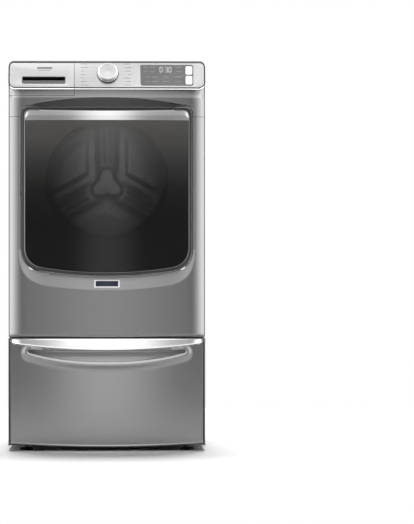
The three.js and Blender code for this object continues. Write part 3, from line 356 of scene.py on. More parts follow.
def slab(name, loops, low, high, material, place, bevel=0.0):
    """A plate of an outline and any holes, from depth low to high, its edges rounded by bevel."""
    curve = bpy.data.curves.new(name, "CURVE")
    curve.dimensions = "2D"
    curve.fill_mode = "BOTH"
    curve.extrude = (high - low) / 2 - bevel
    curve.bevel_depth = bevel
    curve.bevel_resolution = 3
    curve.offset = -bevel
    for k, points in enumerate(loops):
        turn = sum(a[0] * b[1] - b[0] * a[1] for a, b in zip(points, points[1:] + points[:1]))
        ordered = points if (turn > 0) == (k == 0) else points[::-1]
        spline = curve.splines.new("POLY")
        spline.points.add(len(ordered) - 1)
        for point, (u, v) in zip(spline.points, ordered):
            point.co = (u, v, 0, 1)
        spline.use_cyclic_u = True
    shape = bpy.data.objects.new(name + "_outline", curve)
    bpy.context.scene.collection.objects.link(shape)
    bpy.context.view_layer.update()
    flat = bpy.data.meshes.new_from_object(shape.evaluated_get(bpy.context.evaluated_depsgraph_get()))
    middle = (low + high) / 2
    points = [place(v.co.x, v.co.y, v.co.z + middle) for v in flat.vertices]
    faces = [tuple(p.vertices) for p in flat.polygons]
    bpy.data.objects.remove(shape)
    bpy.data.curves.remove(curve)
    bpy.data.meshes.remove(flat)
    return piece(name, points, faces, material)


def bars(name, boxes, low, high, material, place):
    """Small flat marks, one box (u0, u1, v0, v1) each, as one piece."""
    points = []
    faces = []
    for u0, u1, v0, v1 in boxes:
        first = len(points)
        for w in (low, high):
            points += [place(u0, v0, w), place(u1, v0, w), place(u1, v1, w), place(u0, v1, w)]
        faces += ring_faces(2, 4, first=first)
        faces += [tuple(first + i for i in range(4)), tuple(first + 4 + i for i in range(4))]
    return piece(name, points, faces, material)


def tube(name, path, radius, material, segments=12):
    """A round bar along a path of points."""
    path = [Vector(p) for p in path]
    rings = []
    side = None
    for i, p in enumerate(path):
        along = (path[min(i + 1, len(path) - 1)] - path[max(i - 1, 0)]).normalized()
        if side is None:
            side = along.orthogonal().normalized()
        side = (side - along * side.dot(along)).normalized()
        other = along.cross(side)
        r = radius(i / (len(path) - 1)) if callable(radius) else radius
        rings.append([
            tuple(p + (side * math.cos(a) + other * math.sin(a)) * r)
            for a in (2 * math.pi * k / segments for k in range(segments))
        ])
    return loft(name, rings, material, caps=True)


def shell(made, thickness):
    """Gives a skin its sheet thickness, behind its face."""
    sheet = made.modifiers.new("sheet", "SOLIDIFY")
    sheet.thickness = thickness * MM
    sheet.offset = -1
    sheet.use_rim = False
    return made


def face_forwards(made):
    """Turns an open skin so that its face looks forwards."""
    total = sum((p.normal.y * p.area for p in made.data.polygons), 0.0)
    if total > 0:
        made.data.flip_normals()
    return made


def keep(made, above=None, below=None, right_of=None, left_of=None):
    """Cuts a skin at planes and keeps what is inside them, in millimetres."""
    soup = bmesh.new()
    soup.from_mesh(made.data)
    planes = [
        (above, (0, 0, -1), 2), (below, (0, 0, 1), 2), (right_of, (-1, 0, 0), 0), (left_of, (1, 0, 0), 0),
    ]
    for value, normal, axis in planes:
        if value is None:
            continue
        at = [0, 0, 0]
        at[axis] = value * MM
        bmesh.ops.bisect_plane(
            soup, geom=soup.verts[:] + soup.edges[:] + soup.faces[:], dist=1e-7,
            plane_co=at, plane_no=normal, clear_outer=True,
        )
    soup.to_mesh(made.data)
    soup.free()
    return made


def copy_of(made, name):
    other = made.copy()
    other.data = made.data.copy()
    other.name = name
    other.data.name = name
    bpy.context.scene.collection.objects.link(other)
    return other


def mount(made, body, slot, *stands_for):
    """The piece rides on the body and stands for the nodes named; the slot is not used."""
    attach(made, body)
    if stands_for:
        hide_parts(*stands_for)
    return made


# ---------------------------------------------------------------- outlines
def bezier(a, b, c, steps, crowded=0.0):
    """Points of a quadratic curve, its last point left out; crowded draws them to the ends."""
    even = [k / steps for k in range(steps)]
    return [
        tuple(
            (1 - t) ** 2 * p + 2 * t * (1 - t) * q + t * t * r for p, q, r in zip(a, b, c)
        )
        for t in (lerp(t, (1 - math.cos(math.pi * t)) / 2, crowded) for t in even)
    ]


def straight(a, b, steps):
    return [tuple(lerp(p, q, k / steps) for p, q in zip(a, b)) for k in range(steps)]


def bowed(o):
    """Points round an outline with bowed ends and rounded corners; every outline pairs with any other."""
    across, corner, up = 84, 16, 72  # how many points each end, corner and side has

    def edge(loss, blend):
        reach = o["half"] - blend
        drop = loss * (reach / o["half"]) ** 2
        return reach, drop, drop + 2 * drop * blend / reach

    h, b, t = o["half"], o["bottom"], o["top"]
    reach, drop, turn = edge(o["bow"], o["corner"])
    high_reach, high_drop, high_turn = edge(o["crown"], o["top_corner"])
    low_z, high_z = b + drop, t - high_drop
    low_end = b + turn + o["corner"]
    high_end = t - high_turn - o["top_corner"]
    return (
        bezier((-reach, low_z), (0, b - drop), (reach, low_z), across, 0.8)
        + bezier((reach, low_z), (h, b + turn), (h, low_end), corner)
        + straight((h, low_end), (h, high_end), up)
        + bezier((h, high_end), (h, t - high_turn), (high_reach, high_z), corner)
        + bezier((high_reach, high_z), (0, t + high_drop), (-high_reach, high_z), across, 0.8)
        + bezier((-high_reach, high_z), (-h, t - high_turn), (-h, high_end), corner)
        + straight((-h, high_end), (-h, low_end), up)
        + bezier((-h, low_end), (-h, b + turn), (-reach, low_z), corner)
    )


def inset(o, by):
    return {
        **o,
        "half": o["half"] - by,
        "bottom": o["bottom"] + by,
        "top": o["top"] - by,
        "corner": o["corner"] - by / 2,
        "top_corner": max(1, o["top_corner"] - by / 2),
    }


def between(a, b, t):
    return [(lerp(p[0], q[0], t), lerp(p[1], q[1], t)) for p, q in zip(a, b)]


# ---------------------------------------------------------------- the pressed front
def fallen(x):
    """How far the bowed front, with its rounded edges, lies behind its foremost line."""
    x = abs(x)
    if x <= CREASE:
        return BOW * (x / CREASE) ** 2
    beyond = x - CREASE
    share = min(1.0, beyond / (HALF - CREASE))
    slope = 2 * BOW / CREASE
    return BOW + slope * beyond + EDGE_DEPTH * (1 - math.sqrt(1 - share * share))


def front_depth(x, z):
    """The front's depth outside the dish, with its rolled foot and the cove under the console."""
    roll_height = 14
    roll_depth = 6
    foot = min(1.0, max(0.0, 1 - (z - WASHER_BOTTOM) / roll_height))
    cove_depth = 4.5
    cove = 1 - math.exp(-max(0.0, z - DISH["top"]) / 9)
    return fallen(x) + roll_depth * (1 - math.sqrt(1 - foot * foot)) + cove_depth * cove


def front_border():
    """The panels' outline; its top corners rise and lean in behind the console's rounded ends."""
    shoulder = 24
    tuck = 1.5

    def raised(x, z):
        if z <= PANEL_TOP - 2:
            return x, z
        lift = 1 - math.sqrt(1 - max(0, (abs(x) - HALF) / shoulder + 1) ** 2)
        return x - math.copysign(tuck * lift, x), z + shoulder * lift

    plain = dict(half=HALF, bottom=WASHER_BOTTOM, bow=0, corner=7, top=PANEL_TOP, crown=0, top_corner=1)
    return [raised(x, z) for x, z in bowed(plain)]


def dish_ring(t, dish, door):
    """A line round the wall between the dish's outer edge, t = 0, and the door's edge, t = 1."""
    pocket_half, foot = 292, 680  # the wall is hollow over the door and nearly level below it
    angle = math.pi / 2 * t
    ring = []
    for (x0, z0), (x1, z1) in zip(dish, door):
        over = smooth((z0 - HANDLE_BOTTOM) / 40) * smooth((pocket_half - abs(x0)) / 50)
        under = smooth((foot - z0) / 90)
        share = lerp(t, 1 - math.cos(angle), 0.35 * over)
        x = lerp(x0, x1, share)
        z = lerp(z0, z1, share)
        slope = lerp(3.5 * (0.72 * t + 0.28 * t**7), 3 * t, under)
        scoop = lerp(front_depth(x0, z0), SCOOP_DEPTH, lerp(t, math.sin(angle), 0.35))
        ring.append((x, FRONT + lerp(front_depth(x, z) + slope, scoop, over), z))
    return ring


def rolled_lip(rim_line, floor):
    """The dish's inner edge, which stands forward as a narrow lip under the door."""
    width, height = 2.6, 13
    lips = []
    for (x, y, z), (ox, oz) in zip(rim_line, bowed(inset(DOOR, -DOOR_CLEARANCE - width))):
        lift = height * smooth((690 - z) / 60) * smooth((272 - abs(x)) / 14)
        lips.append([(ox, y, oz), (ox, y - lift, oz), (x, y - lift, z), (x, max(y, floor - 2), z)])
    return [list(ring) for ring in zip(*lips)]


def floor_rings(floor):
    """The dish's floor, from under the door's rim in to the round mouth and a little way down it."""
    rim = bowed(inset(DOOR, 2.5 - DOOR_CLEARANCE))
    mouth = []
    for x, z in rim:
        angle = math.atan2(z - AXIS_Z, x)
        mouth.append((MOUTH_RADIUS * math.cos(angle), AXIS_Z + MOUTH_RADIUS * math.sin(angle)))
    spans = [(0, 0)] + [(k / 6 * 0.98, 0) for k in range(1, 7)] + [(1.0, 2), (1.0, 14)]
    return [[(x, floor + depth, z) for x, z in between(rim, mouth, share)] for share, depth in spans]


def front_skin():
    """Both front panels as one skin: the outside, the slope into the dish, its floor and the mouth."""
    border = front_border()
    dish = bowed(DISH)
    door = bowed(inset(DOOR, -DOOR_CLEARANCE))
    outside, inside = 36, 16  # how many rings each part has
    painted_highlight_top = 700
    floor = FRONT + DISH_DEPTH
    rings = []
    for k in range(outside):
        flat = between(border, dish, (k / outside) ** 1.4)
        rings.append([(x, FRONT + front_depth(x, z), z) for x, z in flat])
    rings += [dish_ring(k / inside, dish, door) for k in range(inside)]
    rings += rolled_lip(dish_ring(1.0, dish, door), floor) + floor_rings(floor)
    made = face_forwards(loft("front_skin", rings, SLATE, crease=42))
    made.data.materials.append(PAINTED_SHADE_SLATE)
    made.data.materials.append(PAINTED_HIGHLIGHT_SLATE)
    for polygon in made.data.polygons:
        x, y, z = polygon.center / MM
        band = polygon.index // len(dish) - outside
        # Below painted_highlight_top, the dish's slope and lip take the paler copy of the paint: a painted
        # highlight under the door.
        if 0 <= band < inside + 3 and z < painted_highlight_top:
            polygon.material_index = 2
        # The hollow over the door takes the matt copy of the paint: painted shade.
        elif z > GAP_TOP and abs(x) < 300 and FRONT + front_depth(x, z) + 1 < y < floor:
            polygon.material_index = 1
    return made


def front_panels():
    whole = front_skin()
    lower = keep(copy_of(whole, "front_panel_skin"), below=PANEL_SPLIT - SEAM)
    upper = copy_of(whole, "upper_panel_skin")
    keep(upper, above=PANEL_SPLIT + SEAM)
    right = keep(copy_of(upper, "upper_right"), above=DRAWER_BOTTOM - SEAM, right_of=DRAWER_EDGE + SEAM)
    drawer = keep(
        copy_of(upper, "dispenser_lower_skin"), above=DRAWER_BOTTOM + SEAM, left_of=DRAWER_EDGE - SEAM,
    )
    keep(upper, below=DRAWER_BOTTOM - SEAM)
    soup = bmesh.new()
    soup.from_mesh(upper.data)
    soup.from_mesh(right.data)
    bmesh.ops.remove_doubles(soup, verts=soup.verts, dist=1e-6)
    soup.to_mesh(upper.data)
    soup.free()
    bpy.data.objects.remove(right)
    bpy.data.objects.remove(whole)
    for skin in (lower, upper, drawer):
        shell(skin, 1.3)
    mount(lower, "cabinet", "slate_paint", "front_panel")
    mount(upper, "cabinet", "slate_paint", "upper_front_panel")
    mount(drawer, "dispenser", "slate_paint", "dispenser_front")


def lock_mouth():
    """The latch's mouth in the dish floor, behind the door's opening edge."""
    x, z = 262, 1000
    floor = FRONT + DISH_DEPTH
    frame_loop = rounded(x - 15, x + 15, z - 30, z + 30, 5)
    slot = rounded(x - 7, x + 7, z - 15, z + 15, 3)
    plate = slab("lock_bezel", [frame_loop, slot], 0.2, 2.4, BLACK, upright(floor), 0.6)
    mount(plate, "cabinet", "black_plastic")
    # A thin black plate in the latch's mouth: painted shade in the hole.
    dark = slab("lock_slot", [rounded(x - 8, x + 8, z - 16, z + 16, 3)], 0.1, 0.5, PAINTED_SHADE_BLACK, upright(floor))
    mount(dark, "cabinet", "black_plastic")


# ---------------------------------------------------------------- console
FACE = dict(left=-338, right=338, low=4.2, high=96.2, low_radius=19, high_radius=14)
SLOT = dict(left=-296, right=-144, low=up_slope(1277.5), high=up_slope(1303.5))
WINDOW = dict(left=115, right=301, low=up_slope(1272), high=up_slope(1346), slant=3)
BUTTON_SIDES = (275, 297)
KNOB = (3, up_slope(1314))
BUTTONS = {
    "power": (up_slope(1311.5), up_slope(1340), "power_button"),
    "start": (up_slope(1276), up_slope(1306.5), "start_button"),
}


def window_loop(grow):
    """The display's outline, its left side slanting in towards the bottom."""
    x0 = WINDOW["left"] - grow
    x1 = WINDOW["right"] + grow
    z0 = WINDOW["low"] - grow
    z1 = WINDOW["high"] + grow
    slant = WINDOW["slant"]
    r = 8
    left = bezier((x0 + r, z1), (x0, z1), (x0 + 1.5, z1 - r), 6)
    left += bezier((x0 + slant - 0.5, z0 + r), (x0 + slant, z0), (x0 + slant + r, z0), 6)
    right = bezier((x1 - r, z0), (x1, z0), (x1, z0 + r), 6)
    right += bezier((x1, z1 - r), (x1, z1), (x1 - r, z1), 6)
    return left + [(x0 + slant + r, z0)] + right + [(x1 - r, z1)]


def face_plates():
    f = FACE
    low, high = f["low_radius"], f["high_radius"]
    slot = rounded(SLOT["left"], SLOT["right"], SLOT["low"], SLOT["high"], 6)
    drawer = rounded(f["left"], DRAWER_EDGE - SEAM, f["low"], f["high"], [low, 0, 0, high])
    main = rounded(DRAWER_EDGE + SEAM, f["right"], f["low"], f["high"], [0, low, high, 0])
    left = slab("dispenser_face", [drawer, slot], 0.3, 1.6, SILVER, on_face, 0.5)
    mount(left, "dispenser", "silver_plastic")
    right = slab("console_face", [main, window_loop(0.4)], 0.3, 1.6, SILVER, on_face, 0.5)
    mount(right, "cabinet", "silver_plastic")

    holes = [rounded(*BUTTON_SIDES, v0, v1, 4) for v0, v1, _ in BUTTONS.values()]
    pane = slab("display_pane", [window_loop(0)] + holes, 0.1, 0.75, DISPLAY, on_face, 0.2)
    mount(pane, "cabinet", "tinted_glass", "display_window")

    back = rounded(-HALF, DRAWER_EDGE - SEAM, 0.6, up_slope(CONSOLE_TOP) - 0.8, [23, 0, 0, 18])
    hole = rounded(SLOT["left"] - 1, SLOT["right"] + 1, SLOT["low"] - 1, SLOT["high"] + 1, 6)
    body = slab("dispenser_body", [back, hole], -13, 0.2, DARK, on_face, 1.0)
    mount(body, "dispenser", "dark_paint")


def pull_slot():
    """The drawer's pull: a slot, deep above, with a grip plate across its lower half."""
    s = SLOT
    depth = 27
    middle = lerp(s["low"], s["high"], 0.55)
    loops = [
        (rounded(s["left"], s["right"], s["low"], s["high"], 6), 1.2),
        (rounded(s["left"] + 1, s["right"] - 1, s["low"] + 1, s["high"] - 0.5, 5), -3.5),
        (rounded(s["left"] + 2, s["right"] - 2, middle, s["high"] - 1, 4), -4),
        (rounded(s["left"] + 3, s["right"] - 3, middle + 1, s["high"] - 1.5, 3), -depth),
    ]
    rings = [[on_face(u, v, w) for u, v in loop] for loop, w in loops]
    pocket = loft("dispenser_pull", rings, PULL, caps=False, crease=30)
    # The slot's back is painted black: painted shade at the bottom of the slot.
    back = piece(
        "dispenser_pull_back", rings[-1], [tuple(range(len(rings[-1])))], PAINTED_SHADE_BLACK,
    )
    mount(shell(pocket, -1.2), "dispenser", "dark_paint")
    mount(shell(back, -1.2), "dispenser", "black_plastic")


def console_lip():
    """The pale bead under the console, turning up at both ends."""
    bend = 20
    edge = HALF - 3.2
    z = CONSOLE_BOTTOM - 1.6

    def corner(k, side):
        """The k-th of eight steps round the bend at the bead's left or right end."""
        a = math.radians((205 if side < 0 else 270) + 65 * k / 8)
        return (side * edge + bend * (math.cos(a) - side), z + bend * (1 + math.sin(a)))

    def bead(name, x0, x1, body):
        is_left, is_right = x0 < DRAWER_EDGE - SEAM, x1 >= HALF
        path = [corner(k, -1) for k in range(9)] if is_left else [(x0, z)]
        start = path[-1][0]
        end = edge - bend if is_right else x1
        path += [(lerp(start, end, k / 12), z) for k in range(1, 13)]
        if is_right:
            path += [corner(k, 1) for k in range(1, 9)]

        def at(x, height):
            lean = max(0.0, height - CONSOLE_BOTTOM) * math.tan(TILT)
            return (x, CONSOLE_FRONT + 2.0 + lean, height)

        def radius(t):
            outer = 1 - t if is_right else t
            return 2.3 * (0.4 + 0.6 * smooth(outer / 0.2))

        made = tube(name, [at(x, height) for x, height in path], radius, CHROME, 16)
        mount(made, body, "bright_trim")

    bead("dispenser_lip", -HALF, DRAWER_EDGE - SEAM, "dispenser")
    bead("console_lip", DRAWER_EDGE + SEAM, HALF, "cabinet")


def knob():
    x, v = KNOB

    def place(u, h, w):
        return on_face(x + u, v + h, w)

    ring = softened([(36, 1.6), (40, 1.6), (40, 3.2), (38.8, 4.6), (36, 4.6)], 0.9)
    mount(turned("knob_collar", ring, COLLAR, place=place), "cabinet", "bright_trim", "knob_ring")
    # A black ring fills the gap between collar and grip: painted shade in the gap.
    gap = softened([(30, 1.6), (37.4, 1.6), (37.4, 5.0), (30, 5.0)], 0.8)
    mount(turned("knob_gap", gap, GASKET, place=place), "cabinet", "black_plastic")
    skirt = softened(
        [(0, 6), (35.8, 7.6), (35.0, 13), (32.2, 21.5), (29.5, 23.2), (26.5, 22.6), (0, 22.0)], 1.6,
    )
    skirt = [(max(0, r), w) for r, w in skirt]
    grip = turned("knob_grip", skirt, SILVER, place=place)
    mount(grip, "knob", "silver_plastic", "cycle_knob")
    band = softened([(33.5, 11.8), (35.6, 11.8), (35.0, 14.2), (32.8, 14.2)], 0.5)
    mount(turned("knob_band", band, CHROME, place=place), "knob", "bright_trim")
    pointer = bars("knob_pointer", [(-0.8, 0.8, 20.5, 26)], 22.2, 22.9, PRINT, place)
    mount(pointer, "knob", "black_plastic")


def words(start, length, v, half, width):
    """A caption as a row of small bars; width(k) is how wide the k-th is."""
    pitch = 4
    starts = [start + pitch * k for k in range(int(length // pitch))]
    return [(u, u + width(k), v - half, v + half) for k, u in enumerate(starts)]


def panel_marks():
    """Plain bars where a panel has its captions, with leader lines to the knob."""
    low, high = up_slope(1273.5), up_slope(1348.5)
    knob_x, knob_v = KNOB
    clear = 45  # how near the knob's middle a leader comes
    lengths = {-1: [31, 22, 14, 16, 13, 24, 26], 1: [25, 18, 30, 12, 22, 24, 27]}
    outer = {-1: -90, 1: 86}
    captions = []
    leaders = []
    for side in (-1, 1):
        for i, length in enumerate(lengths[side]):
            v = lerp(low, high, i / 6)
            start = outer[side] if side < 0 else outer[side] - length
            captions += words(start, length, v, 1.3, lambda k: 2.6 + 0.8 * ((i + k) % 2))
            near = knob_x + side * math.sqrt(max(0.0, clear**2 - (v - knob_v) ** 2))
            far = start + length + 2 if side < 0 else start - 2
            if abs(near - knob_x) < 8:
                near = knob_x + side * 22
            leaders.append((min(near, far), max(near, far), v - 0.25, v + 0.25))
    mount(bars("caption_marks", captions, 1.55, 1.75, GREY_PRINT, on_face), "cabinet", "dark_paint")
    mount(bars("leader_lines", leaders, 1.55, 1.72, PALE_PRINT, on_face), "cabinet", "dark_paint")
    maker = [(-243, -191, up_slope(1331), up_slope(1337)), (-238, -196, up_slope(1325), up_slope(1326.6))]
    mount(bars("plain_mark", maker, 1.55, 1.75, PRINT, on_face), "dispenser", "dark_paint")


SEGMENTS = {"0": "abcdef", "3": "abcdg"}


def digits():
    """The time left, in seven-segment figures, and the faint captions round it."""
    low, high = up_slope(1320), up_slope(1338.5)
    middle = (low + high) / 2
    wide, t = 9.5, 1.7  # the width of a figure and of its strokes
    strokes = []
    x = 184
    for mark in "0:30":
        if mark == ":":
            strokes += [(x, x + t, middle + s * 4 - 0.9, middle + s * 4 + 0.9) for s in (-1, 1)]
            x += t + 3.6
            continue
        where = {
            "a": (x + t, x + wide - t, high - t, high),
            "b": (x + wide - t, x + wide, middle + 0.5, high - 0.5),
            "c": (x + wide - t, x + wide, low + 0.5, middle - 0.5),
            "d": (x + t, x + wide - t, low, low + t),
            "e": (x, x + t, low + 0.5, middle - 0.5),
            "f": (x, x + t, middle + 0.5, high - 0.5),
            "g": (x + t, x + wide - t, middle - t / 2, middle + t / 2),
        }
        strokes += [where[s] for s in SEGMENTS[mark]]
        x += wide + 3.4
    mount(bars("clock_digits", strokes, 0.75, 1.0, LIT, on_face), "cabinet", "white_plastic")
    beside = [(130, 15), (152, 18), (240, 26)]
    under = [(134, 16), (156, 26), (196, 22), (238, 24)]
    captions = []
    for z, spots in ((1338, beside), (1322, beside), (1303, under), (1287, under)):
        for start, length in spots:
            captions += words(start, length, up_slope(z), 1.2, lambda k: 3)
    mount(bars("display_captions", captions, 0.75, 0.95, FAINT, on_face), "cabinet", "white_plastic")


def push_buttons():
    for body, (v0, v1, node) in BUTTONS.items():
        cap = slab(body + "_cap", [rounded(*BUTTON_SIDES, v0, v1, 4)], -2.4, 2.8, BUTTON, on_face, 1.0)
        mount(cap, body, "silver_plastic", node)
        middle = (v0 + v1) / 2
        sign = [(282, 290, middle + 3, middle + 4.4), (283, 289, middle - 4.4, middle - 3)]
        mount(bars(body + "_mark", sign, 2.75, 2.95, PRINT, on_face), body, "black_plastic")


# ---------------------------------------------------------------- door
def door_front(x):
    """The depth of the door's crowned front at x."""
    return lerp(DOOR_CROWN, DOOR_EDGE, min(1.0, (x / DOOR["half"]) ** 2))


def door_frame():
    """The door's border; over the handle it steps back behind the finger gap."""
    gap_bottom, gap_half, gap_depth = 1178, 236, 15
    gasket, border, hairline, white = range(4)
    bands = [  # how far in from the edge, how far behind the door's front or else at what depth, the finish
        (5.0, None, DOOR_BACK, gasket),
        (0.0, None, DOOR_BACK, gasket),
        # the white band round the door's outer edge is a painted highlight on its black rim
        (0.0, 4.0, None, white),
        (0.8, 1.2, None, gasket),
        (2.4, 0.3, None, gasket),
        (4.2, 0.3, None, gasket),
        (5.0, 1.0, None, border),
        (9.0, 1.6, None, border),
        (10.0, 1.0, None, hairline),
        (12.2, 1.0, None, hairline),
        (12.6, 2.4, None, gasket),
        (12.6, 9.0, None, gasket),
        (5.0, 9.0, None, gasket),
    ]
    rings = []
    for by, behind, fixed, _ in bands:
        ring = []
        for x, z in bowed(inset(DOOR, by)):
            back = gap_depth * smooth((z - gap_bottom) / 5) * smooth((gap_half - abs(x)) / 10)
            front = door_front(x) + (behind or 0) + back
            y = fixed if fixed is not None else min(DOOR_BACK - 2, front)
            if x < -270 and HINGE_SLOT["bottom"] < z < HINGE_SLOT["top"]:
                y = min(y, HINGE_SLOT["front"])
            ring.append((x, y, z))
        rings.append(ring)
    made = loft("door_rim", rings, BORDER, ends_meet=True, crease=30)
    made.data.materials.clear()
    for material in (GASKET, BORDER, HAIRLINE, WHITE):
        made.data.materials.append(material)
    count = len(rings[0])
    finishes = [kind for *_, kind in bands]
    for polygon in made.data.polygons:
        index = min(polygon.vertices) // count
        polygon.material_index = finishes[min(index + 1, len(bands) - 1)]
        # Over the handle, the border stepped back into the finger gap is painted in the dull black: painted
        # shade in the gap.
        if polygon.center.z > gap_bottom * MM and abs(polygon.center.x) < gap_half * MM:
            polygon.material_index = gasket
    return made


def crowned(name, outline, back, material):
    """A closed plate that follows the door's crowned front."""
    cx = 0.0
    cz = sum(z for _, z in outline) / len(outline)
    steps = 24

    def ring(share, behind):
        flat = [(lerp(cx, x, share), lerp(cz, z, share)) for x, z in outline]
        return [(x, door_front(x) + 1.2 + behind, z) for x, z in flat]

    rings = [[(cx, door_front(cx) + 1.2 + back, cz)] * len(outline)]
    rings += [ring(k / 4, back) for k in range(1, 5)]
    rings.append([(x, door_front(x) + 1.2 + 0.8, z) for x, z in outline])
    rings += [ring(1 - 0.6 / 280 if k == steps else k / steps, 0.0) for k in range(steps, 0, -1)]
    rings.append([(cx, door_front(cx) + 1.2, cz)] * len(outline))
    return loft(name, rings, material, crease=40)


def door():
    mount(door_frame(), "door", "black_plastic", "door_frame")
    pane = bowed({**inset(DOOR, 13.2), "top": HANDLE_BOTTOM - 0.8, "top_corner": 3})
    glass = crowned("door_pane", pane, 4.0, DOOR_GLASS)
    mount(glass, "door", "tinted_glass", "door_window")

    hole = [(x, AXIS_Z + z) for x, z in circle(213.5, 96)]
    backing = slab("door_backing", [pane, hole], 0, 1, BACKING, upright(-367.2))
    mount(backing, "door", "black_plastic")
    ring = [(197.5, -368.6), (214, -368.6), (214, -352.5), (197.5, -352.5)]
    mount(turned("door_bowl_ring", softened(ring, 1.0), GASKET, 128), "door", "black_plastic")


def handle():
    """The bright bar across the door's top, which dips between its ends, and the back of its finger gap."""
    half = DOOR["half"] - 12
    shares = [-1 + 2 * i / 96 for i in range(97)]
    face, back = -0.4, 9.0
    section = softened(
        [
            (HANDLE_BOTTOM, face), (HANDLE_BOTTOM + 1.5, face), (HANDLE_BOTTOM + 18, face),
            (HANDLE_TOP - 1.5, 0.6), (HANDLE_TOP, 0.8), (HANDLE_TOP, back), (HANDLE_BOTTOM, back),
        ], 0.4, 3,
    )
    rings = []
    for s in shares:
        x = half * s
        corner = max(0.0, abs(x) - (half - 24)) / 24
        squeeze = 26 * (1 - math.sqrt(max(0.0, 1 - corner * corner)))
        ring = []
        for z, behind in section:
            height = (z - HANDLE_BOTTOM) / (HANDLE_TOP - HANDLE_BOTTOM)
            drop = squeeze * 0.9 + HANDLE_DIP * (1 - s * s)
            ring.append((x, door_front(x) + 1.6 + behind, z - drop * height))
        rings.append(ring)
    bar = loft("door_grip_bar", rings, BAR, caps=True, crease=25)
    mount(bar, "door", "bright_trim", "door_handle")
    low, high, inner = HANDLE_BOTTOM, GAP_TOP, DOOR_BACK - 1
    shelf = []
    for s in shares:
        x = half * s
        y = door_front(x)
        shelf.append([
            (x, y + 14, low), (x, inner, low), (x, inner, high), (x, y + 20, high), (x, y + 16, high - 8),
        ])
    mount(loft("door_grip_back", shelf, GASKET, caps=True), "door", "black_plastic")


def bowl():
    """The glass bowl that reaches into the drum; each point is a radius and a depth."""
    inner = [
        (0, -201), (75, -203), (125, -212), (150, -230), (168, -285), (174, -320), (180, -331), (184, -336),
    ]
    outer = [
        (197, -336), (197, -331), (184, -327), (178, -318), (172, -284), (154, -227), (127, -207),
        (76, -198), (0, -196),
    ]
    profile = softened(inner + outer, 22, 6)
    profile = [(max(0, r), y) for r, y in profile]
    mount(turned("door_glass_bowl", profile, BOWL_GLASS, 128), "door", "clear_glass", "door_bowl")


# ---------------------------------------------------------------- drum, seen through the door
DRUM_RADIUS = 263
DRUM_BACK = 184


def star(r, angle):
    """How far the drum's pressed back stands forward: a three-cornered hub and three ribbed arms."""
    turn = math.cos(3 * (angle - math.pi / 2))
    hub_edge = 38 + 26 * ((1 + turn) / 2) ** 0.9
    hub = 20 * smooth((hub_edge + 9 - r) / 18)
    nearest = min(
        (abs((angle - math.radians(a) + math.pi) % (2 * math.pi) - math.pi) for a in (90, 210, 330)),
    )
    across = r * math.sin(min(nearest, math.pi / 2))
    arm = 13 * smooth((46 - across) / 26) * smooth((r - 40) / 40)
    grooves = -6 * math.exp(-((across - 12) / 6) ** 2) * smooth((r - 70) / 25)
    lobe = 7 * smooth((across - 60) / 24) * smooth((205 - r) / 30) * smooth((r - 62) / 22)
    rim = smooth((238 - r) / 26)
    return max(0.0, hub, arm + grooves) * rim + lobe * rim


def drum_shell():
    """The drum's back, pressed into a star, and its wall, as one turned sheet."""
    back = DRUM_BACK - 1.5
    sides = 180
    angles = [2 * math.pi * i / sides for i in range(sides)]
    rings = []
    for k in range(53):
        r = 5 * k if k < 52 else 257
        pressed = [star(r, a) if r < 240 else 0 for a in angles]
        rings.append([about_drum(u, v, back - p) for (u, v), p in zip(circle(r, sides), pressed)])
    wall = [
        (261.5, back - 6), (261.5, -236), (255, -246.5), (207, -246.5), (205, -248), (207, -249.5),
        (255.5, -249.5), (263, -238), (263, back - 4), (257, back + 1.5), (0, back + 1.5),
    ]
    rings += [[about_drum(u, v, y) for u, v in circle(r, sides)] for r, y in wall]
    mount(loft("drum_shell", rings, DRUM_STEEL, crease=50), "drum", "steel", "drum_basket")


def drum_holes():
    """Rows of small hollows round the wall, clear of the baffles, and on the star's three arms."""
    lobes = (30, 150, 270)
    points = []
    faces = []

    def dimple(centre, out, radius=2.6, sides=8):
        side = out.orthogonal().normalized()
        other = out.cross(side)
        first = len(points)
        for k in range(sides):
            a = 2 * math.pi * k / sides
            points.append(tuple(centre + (side * math.cos(a) + other * math.sin(a)) * radius))
        points.append(tuple(centre - out * 0.25))
        faces.extend((first + k, first + (k + 1) % sides, first + sides) for k in range(sides))

    wall = 261.1
    for row in range(13):
        y = -205 + 28 * row
        for k in range(48):
            degrees = 7.5 * (k + 0.5 * (row % 2))
            from_baffle = min(abs((degrees - a + 180) % 360 - 180) for a in lobes)
            if from_baffle < 11:
                continue
            a = math.radians(degrees)
            out = Vector((-math.cos(a), 0, -math.sin(a)))
            dimple(Vector((-wall * out.x, y, AXIS_Z - wall * out.z)), out)
    pitch = 13
    for r in range(140, 232, pitch):
        for k in range(-4, 5):
            for lobe in lobes:
                a = math.radians(lobe + k * 13 * 57.3 / r + (6.5 * 57.3 / r if (r // pitch) % 2 else 0))
                height = DRUM_BACK - 1.5 - star(r, a) - 0.35
                dimple(Vector((r * math.cos(a), height, AXIS_Z + r * math.sin(a))), Vector((0, -1, 0)))
    # Each hollow is painted black: painted shade where the drum's holes are.
    mount(piece("drum_holes", points, faces, PAINTED_SHADE_BLACK), "drum", "steel")


def drum():
    drum_shell()
    drum_holes()
    for i in range(3):
        baffle(i)


